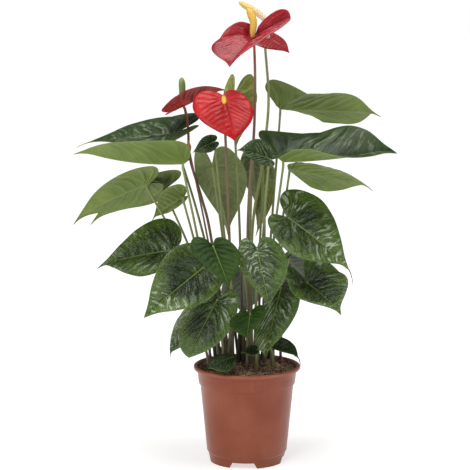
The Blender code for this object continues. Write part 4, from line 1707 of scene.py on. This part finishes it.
@dataclass(frozen=True)
class Crown:
    """Brown papery sheaths round the feet of the stalks, and stubs of older stalks."""

    sheaths: int = 16
    stubs: int = 16
    middle: tuple[float, float] = (-16.0, 14.0)
    spread: float = 12.0

    def build(self, palette: "Palette", rng: np.random.Generator) -> None:
        """Make the sheaths and the stubs and hand each over as one piece.

        Args:
            palette: The plant's finishes.
            rng: The plant's random numbers.
        """
        feet = [leaf.foot for leaf in LEAVES] + [bloom.foot for bloom in BLOOMS]
        wraps = [self.wrap(feet[pick], palette, rng)
                 for pick in rng.permutation(len(feet))[:self.sheaths]]
        hand_over(joined(*wraps), "brown_stalk")
        hand_over(joined(*(self.stub(palette, rng) for _ in range(self.stubs))), "brown_stalk")

    def wrap(self, foot: tuple[float, float], palette: "Palette",
             rng: np.random.Generator) -> bpy.types.Object:
        """A sheath round the foot of a stalk.

        Args:
            foot: Where the stalk leaves the soil.
            palette: The plant's finishes.
            rng: The plant's random numbers.

        Returns:
            The sheath.
        """
        x, y = foot
        ground = float(soil_height(x, y))
        tall = rng.uniform(16.0, 34.0)
        lean = rng.normal(0.0, 0.9, 2)
        path = curve_through([
            np.array((x, y, ground - 3.0)), np.array((x, y, ground + tall * 0.4)),
            np.array((x + lean[0], y + lean[1], ground + tall)),
        ], 16)
        share = np.linspace(0.0, 1.0, len(path))
        width = 3.1 * (1 - share ** 3) ** 0.6 + 0.25
        turn = math.tau * np.arange(14)[None, :] / 14
        fold = 0.35 * np.cos(turn * 3 + share[:, None] * 2.0) * (1 - share)[:, None]
        return tube("crown_sheaths", path, width, 14, palette.sheath, fold)

    def stub(self, palette: "Palette", rng: np.random.Generator) -> bpy.types.Object:
        """A short dark stalk that stands between the others.

        Args:
            palette: The plant's finishes.
            rng: The plant's random numbers.

        Returns:
            The stub.
        """
        x, y = rng.normal(0.0, self.spread, 2) + self.middle
        ground = float(soil_height(x, y))
        tall = rng.uniform(35.0, 120.0)
        away = np.array((x - self.middle[0], y - self.middle[1]))
        lean = away * tall * 0.0032 + rng.normal(0.0, 2.0, 2)
        path = curve_through([
            np.array((x, y, ground - 4.0)),
            np.array((x + lean[0] * 0.3, y + lean[1] * 0.3, ground + tall * 0.5)),
            np.array((x + lean[0], y + lean[1], ground + tall)),
        ], 14)
        width = np.linspace(2.3, 1.1, len(path))
        skin = palette.stalk[StalkKind.OLD] if rng.uniform() < 0.7 else palette.sheath
        return tube("crown_stubs", path, width, 8, skin)


class Palette:
    """Every finish of the plant and its pot."""

    def __init__(self) -> None:
        """Make all the materials."""
        # The sheen setting of each face is a painted silvery reflection of the lamps.
        glossy = LeafFace("leaf_glossy", (0.006, 0.016, 0.003), (0.022, 0.044, 0.008),
                          (0.080, 0.13, 0.040), vein_share=0.14, midrib_share=0.25, painted_sheen=0.22,
                          rough=0.38, relief=0.25, gloss=0.22).build()
        quilted = LeafFace("leaf_quilted", (0.006, 0.018, 0.003), (0.066, 0.122, 0.012),
                           (0.130, 0.20, 0.050), vein_share=0.14, midrib_share=0.20, painted_sheen=0.80,
                           rough=0.25, relief=1.4, coat=0.20).build()
        young = LeafFace("leaf_young", (0.009, 0.028, 0.002), (0.022, 0.055, 0.003),
                         (0.05, 0.10, 0.012), vein_share=0.05, midrib_share=0.3, painted_sheen=0.0,
                         rough=0.5, relief=0.15, coat=0.0, gloss=0.18).build()
        under = LeafFace("leaf_under", (0.105, 0.155, 0.026), (0.150, 0.210, 0.040),
                         (0.20, 0.26, 0.07), vein_share=0.28, midrib_share=0.6, rough=0.50,
                         relief=-0.3, gloss=0.3).build()
        shaded = LeafFace("leaf_shaded", (0.110, 0.150, 0.045), (0.180, 0.225, 0.075),
                          (0.24, 0.28, 0.11), vein_share=0.40, midrib_share=0.7, rough=0.46,
                          relief=-0.6).build()
        olive = LeafFace("leaf_olive", (0.120, 0.150, 0.020), (0.215, 0.245, 0.042),
                         (0.28, 0.31, 0.085), vein_share=0.40, midrib_share=0.7, rough=0.40,
                         relief=-0.5).build()
        # An underside painted dark as painted shade, for the leaves at the back.
        deep = LeafFace("leaf_under_painted_shade", (0.016, 0.028, 0.008), (0.040, 0.060, 0.018),
                        (0.08, 0.11, 0.04), vein_share=0.45, rough=0.48, relief=-0.6).build()
        self.leaf = {
            LeafKind.GLOSSY: (glossy, under),
            LeafKind.QUILTED: (quilted, under),
            LeafKind.YOUNG: (young, under),
            LeafKind.SHADED: (glossy, shaded),
            LeafKind.OLIVE: (young, olive),
            LeafKind.DEEP: (quilted, deep),
        }
        # The fourth colour of each spathe face is its painted pale highlight.
        red = SpatheFace("spathe_red", (0.31, 0.0005, 0.002), (0.44, 0.001, 0.003),
                         (0.66, 0.08, 0.09), painted_highlight_share=0.08, rough=0.36, relief=0.7,
                         coat=0.06).build()
        crimson = SpatheFace("spathe_crimson", (0.18, 0.002, 0.006), (0.29, 0.005, 0.012),
                             (0.50, 0.10, 0.13), painted_highlight_share=0.22, rough=0.40, relief=0.4,
                             coat=0.12).build()
        dull = SpatheFace("spathe_back", (0.26, 0.018, 0.016), (0.54, 0.045, 0.036),
                          (0.50, 0.12, 0.09), painted_highlight_share=0.25, rough=0.45, relief=-0.8,
                          coat=0.0).build()
        self.spathe = {False: (red, dull), True: (crimson, dull)}
        self.stalk = {
            StalkKind.LEAF: StalkSkin("stalk_leaf", (
                (0.0, (0.045, 0.032, 0.018)), (0.22, (0.050, 0.045, 0.018)),
                (0.45, (0.13, 0.12, 0.035)), (0.7, (0.16, 0.19, 0.055)),
                (0.95, (0.19, 0.24, 0.070)), (1.0, (0.26, 0.33, 0.10)))).build(),
            StalkKind.BROWN: StalkSkin("stalk_brown", (
                (0.0, (0.10, 0.07, 0.035)), (0.4, (0.17, 0.105, 0.050)),
                (0.8, (0.13, 0.080, 0.042)), (1.0, (0.24, 0.03, 0.03)))).build(),
            StalkKind.ROSY: StalkSkin("stalk_rosy", (
                (0.0, (0.12, 0.09, 0.04)), (0.45, (0.17, 0.100, 0.055)),
                (0.86, (0.14, 0.065, 0.050)), (0.925, (0.25, 0.080, 0.065)),
                (0.95, (0.52, 0.12, 0.10)), (1.0, (0.62, 0.13, 0.11)))).build(),
            StalkKind.OLD: StalkSkin("stalk_old", (
                (0.0, (0.030, 0.020, 0.012)), (0.5, (0.040, 0.036, 0.014)),
                (1.0, (0.070, 0.075, 0.025))), rough=0.6).build(),
            StalkKind.OLIVE: StalkSkin("stalk_olive", (
                (0.0, (0.14, 0.13, 0.04)), (0.6, (0.22, 0.24, 0.075)),
                (1.0, (0.27, 0.30, 0.10)))).build(),
        }
        self.spadix = {
            SpadixKind.YELLOW: FloretSkin("spadix_yellow", (
                (0.0, (0.52, 0.24, 0.09)), (0.25, (0.60, 0.36, 0.05)), (1.0, (0.62, 0.40, 0.035))),
                (0.42, 0.20, 0.02)).build(),
            SpadixKind.CREAM: FloretSkin("spadix_cream", (
                (0.0, (0.66, 0.48, 0.38)), (0.45, (0.70, 0.55, 0.38)), (0.75, (0.66, 0.48, 0.14)),
                (1.0, (0.62, 0.38, 0.035))), (0.54, 0.38, 0.22)).build(),
            SpadixKind.GREEN: FloretSkin("spadix_green", (
                (0.0, (0.14, 0.20, 0.05)), (0.8, (0.16, 0.23, 0.055)), (1.0, (0.22, 0.27, 0.08))),
                (0.09, 0.13, 0.03)).build(),
            SpadixKind.BUD: StalkSkin("bud_skin", (
                (0.0, (0.34, 0.06, 0.03)), (0.45, (0.36, 0.13, 0.04)), (1.0, (0.44, 0.22, 0.07))),
                streak=(0.24, 0.05, 0.02)).build(),
        }
        self.plastic = Plastic().build()
        self.peat = Peat("peat").build()
        self.bark = Peat("peat_bark", (0.16, 0.070, 0.040), (0.34, 0.180, 0.105),
                         (0.32, 0.22, 0.14), 0.52).build()
        self.fibre = Peat("peat_fibre", (0.38, 0.25, 0.14), (0.62, 0.46, 0.28),
                          (0.46, 0.36, 0.23), 0.50).build()
        self.sheath = StalkSkin("sheath", (
            (0.0, (0.07, 0.045, 0.025)), (0.6, (0.13, 0.085, 0.045)), (1.0, (0.20, 0.14, 0.08))),
            streak=(0.05, 0.03, 0.02), rough=0.7).build()


@dataclass(frozen=True)
class Lamp:
    """A soft lamp: where it hangs and points, in metres, its sides and its power in watts."""

    name: str
    place: Point
    target: Point
    width: float
    height: float
    watts: float

    def hang(self) -> None:
        """Hang the lamp."""
        light = bpy.data.lights.new(self.name, "AREA")
        light.shape = "RECTANGLE"
        light.size = self.width
        light.size_y = self.height
        light.energy = self.watts
        lamp = bpy.data.objects.new(self.name, light)
        lamp.location = self.place
        ahead = Vector(self.target) - Vector(self.place)
        lamp.rotation_euler = ahead.to_track_quat("-Z", "Y").to_euler()
        bpy.context.scene.collection.objects.link(lamp)


@dataclass(frozen=True)
class Studio:
    """A pale floor, soft lights and the camera."""

    camera_place: Point = (-19.0, -2600.0, 736.0)
    camera_pitch: float = 8.15
    focal_pixels: float = 1663.7
    frame_pixels: int = 470
    sensor: float = 36.0
    far: float = 200.0
    air: float = 0.24
    floor_side: float = 60.0
    lamps: tuple[Lamp, ...] = (
        Lamp("overhead", (0.1, -0.1, 2.0), (0.0, 0.0, 0.35), 1.3, 1.2, 30.0),
        Lamp("front_high", (-0.7, -1.7, 1.7), (0.0, 0.0, 0.40), 1.0, 0.9, 17.0),
        Lamp("left_bank", (-1.7, -0.7, 0.75), (0.0, 0.0, 0.30), 0.5, 1.5, 7.0),
        Lamp("right_bank", (1.7, -0.9, 0.75), (0.0, 0.0, 0.30), 0.5, 1.5, 7.0),
    )

    def build(self) -> None:
        """Set up the floor, the lights and the camera."""
        self.floor()
        for lamp in self.lamps:
            lamp.hang()
        scene = bpy.context.scene
        scene.world = self.surroundings()
        scene.view_settings.view_transform = "Standard"
        lens = bpy.data.cameras.new("camera")
        lens.sensor_width = self.sensor
        lens.lens = self.focal_pixels * self.sensor / self.frame_pixels
        lens.clip_end = self.far
        camera = bpy.data.objects.new("camera", lens)
        camera.location = tuple(to_scene(self.camera_place))
        camera.rotation_euler = (math.radians(90.0 - self.camera_pitch), 0.0, 0.0)
        scene.collection.objects.link(camera)
        scene.camera = camera

    def surroundings(self) -> bpy.types.World:
        """A white backdrop all round that lights the plant only softly."""
        world = bpy.data.worlds.new("studio_air")
        world.use_nodes = True
        tree = world.node_tree
        soft = tree.nodes["Background"]
        white = tree.nodes.new("ShaderNodeBackground")
        for shade, strength in ((soft, self.air), (white, 1.0)):
            shade.inputs["Color"].default_value = (1.0, 1.0, 1.0, 1.0)
            shade.inputs["Strength"].default_value = strength
        either = tree.nodes.new("ShaderNodeMixShader")
        path = tree.nodes.new("ShaderNodeLightPath")
        tree.links.new(path.outputs["Is Camera Ray"], either.inputs[0])
        tree.links.new(soft.outputs[0], either.inputs[1])
        tree.links.new(white.outputs[0], either.inputs[2])
        tree.links.new(either.outputs[0], tree.nodes["World Output"].inputs["Surface"])
        return world

    def floor(self) -> None:
        """Lay the pale floor."""
        bpy.ops.object.select_all(action="DESELECT")
        bpy.ops.mesh.primitive_plane_add(size=self.floor_side)
        floor = bpy.context.object
        floor.name = "floor"
        finish = Finish("floor_pale")
        spot = finish.place()
        away = finish.wire(finish.node("ShaderNodeVectorMath", {"operation": "LENGTH"},
                                       {0: spot}).outputs["Value"])
        colour = finish.mix(finish.noise(spot, 3.0), (0.59, 0.59, 0.59), (0.61, 0.61, 0.61))
        glow = finish.mix(finish.smooth(away, 0.25, 2.6), (0.62, 0.62, 0.62), (0.90, 0.90, 0.90))
        finish.set(Base_Color=colour, Roughness=0.8, Emission_Color=glow, Emission_Strength=1.0)
        floor.data.materials.append(finish.material)
        floor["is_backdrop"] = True


def box_list(corners: tuple[Sequence[float], Sequence[float]]) -> list[list[float]]:
    """A box's two corners as plain lists."""
    return [[float(value) for value in corner] for corner in corners]


def main() -> None:
    """Build the plant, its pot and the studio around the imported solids."""
    logging.basicConfig(level=logging.INFO, format="%(name)s: %(message)s")
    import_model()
    box_list(solids_box())
    rng = np.random.default_rng(SEED)
    palette = Palette()
    Pot().build(palette)
    Soil().build(palette, rng)
    Crown().build(palette, rng)
    for leaf in LEAVES:
        hand_over(leaf.build(palette, rng), leaf.slot, leaf.name)
    for bloom in BLOOMS:
        bloom.build(palette, rng)
    Bud().build(palette)
    Studio().build()
    bpy.context.view_layer.update()


if __name__ == "__main__":
    main()
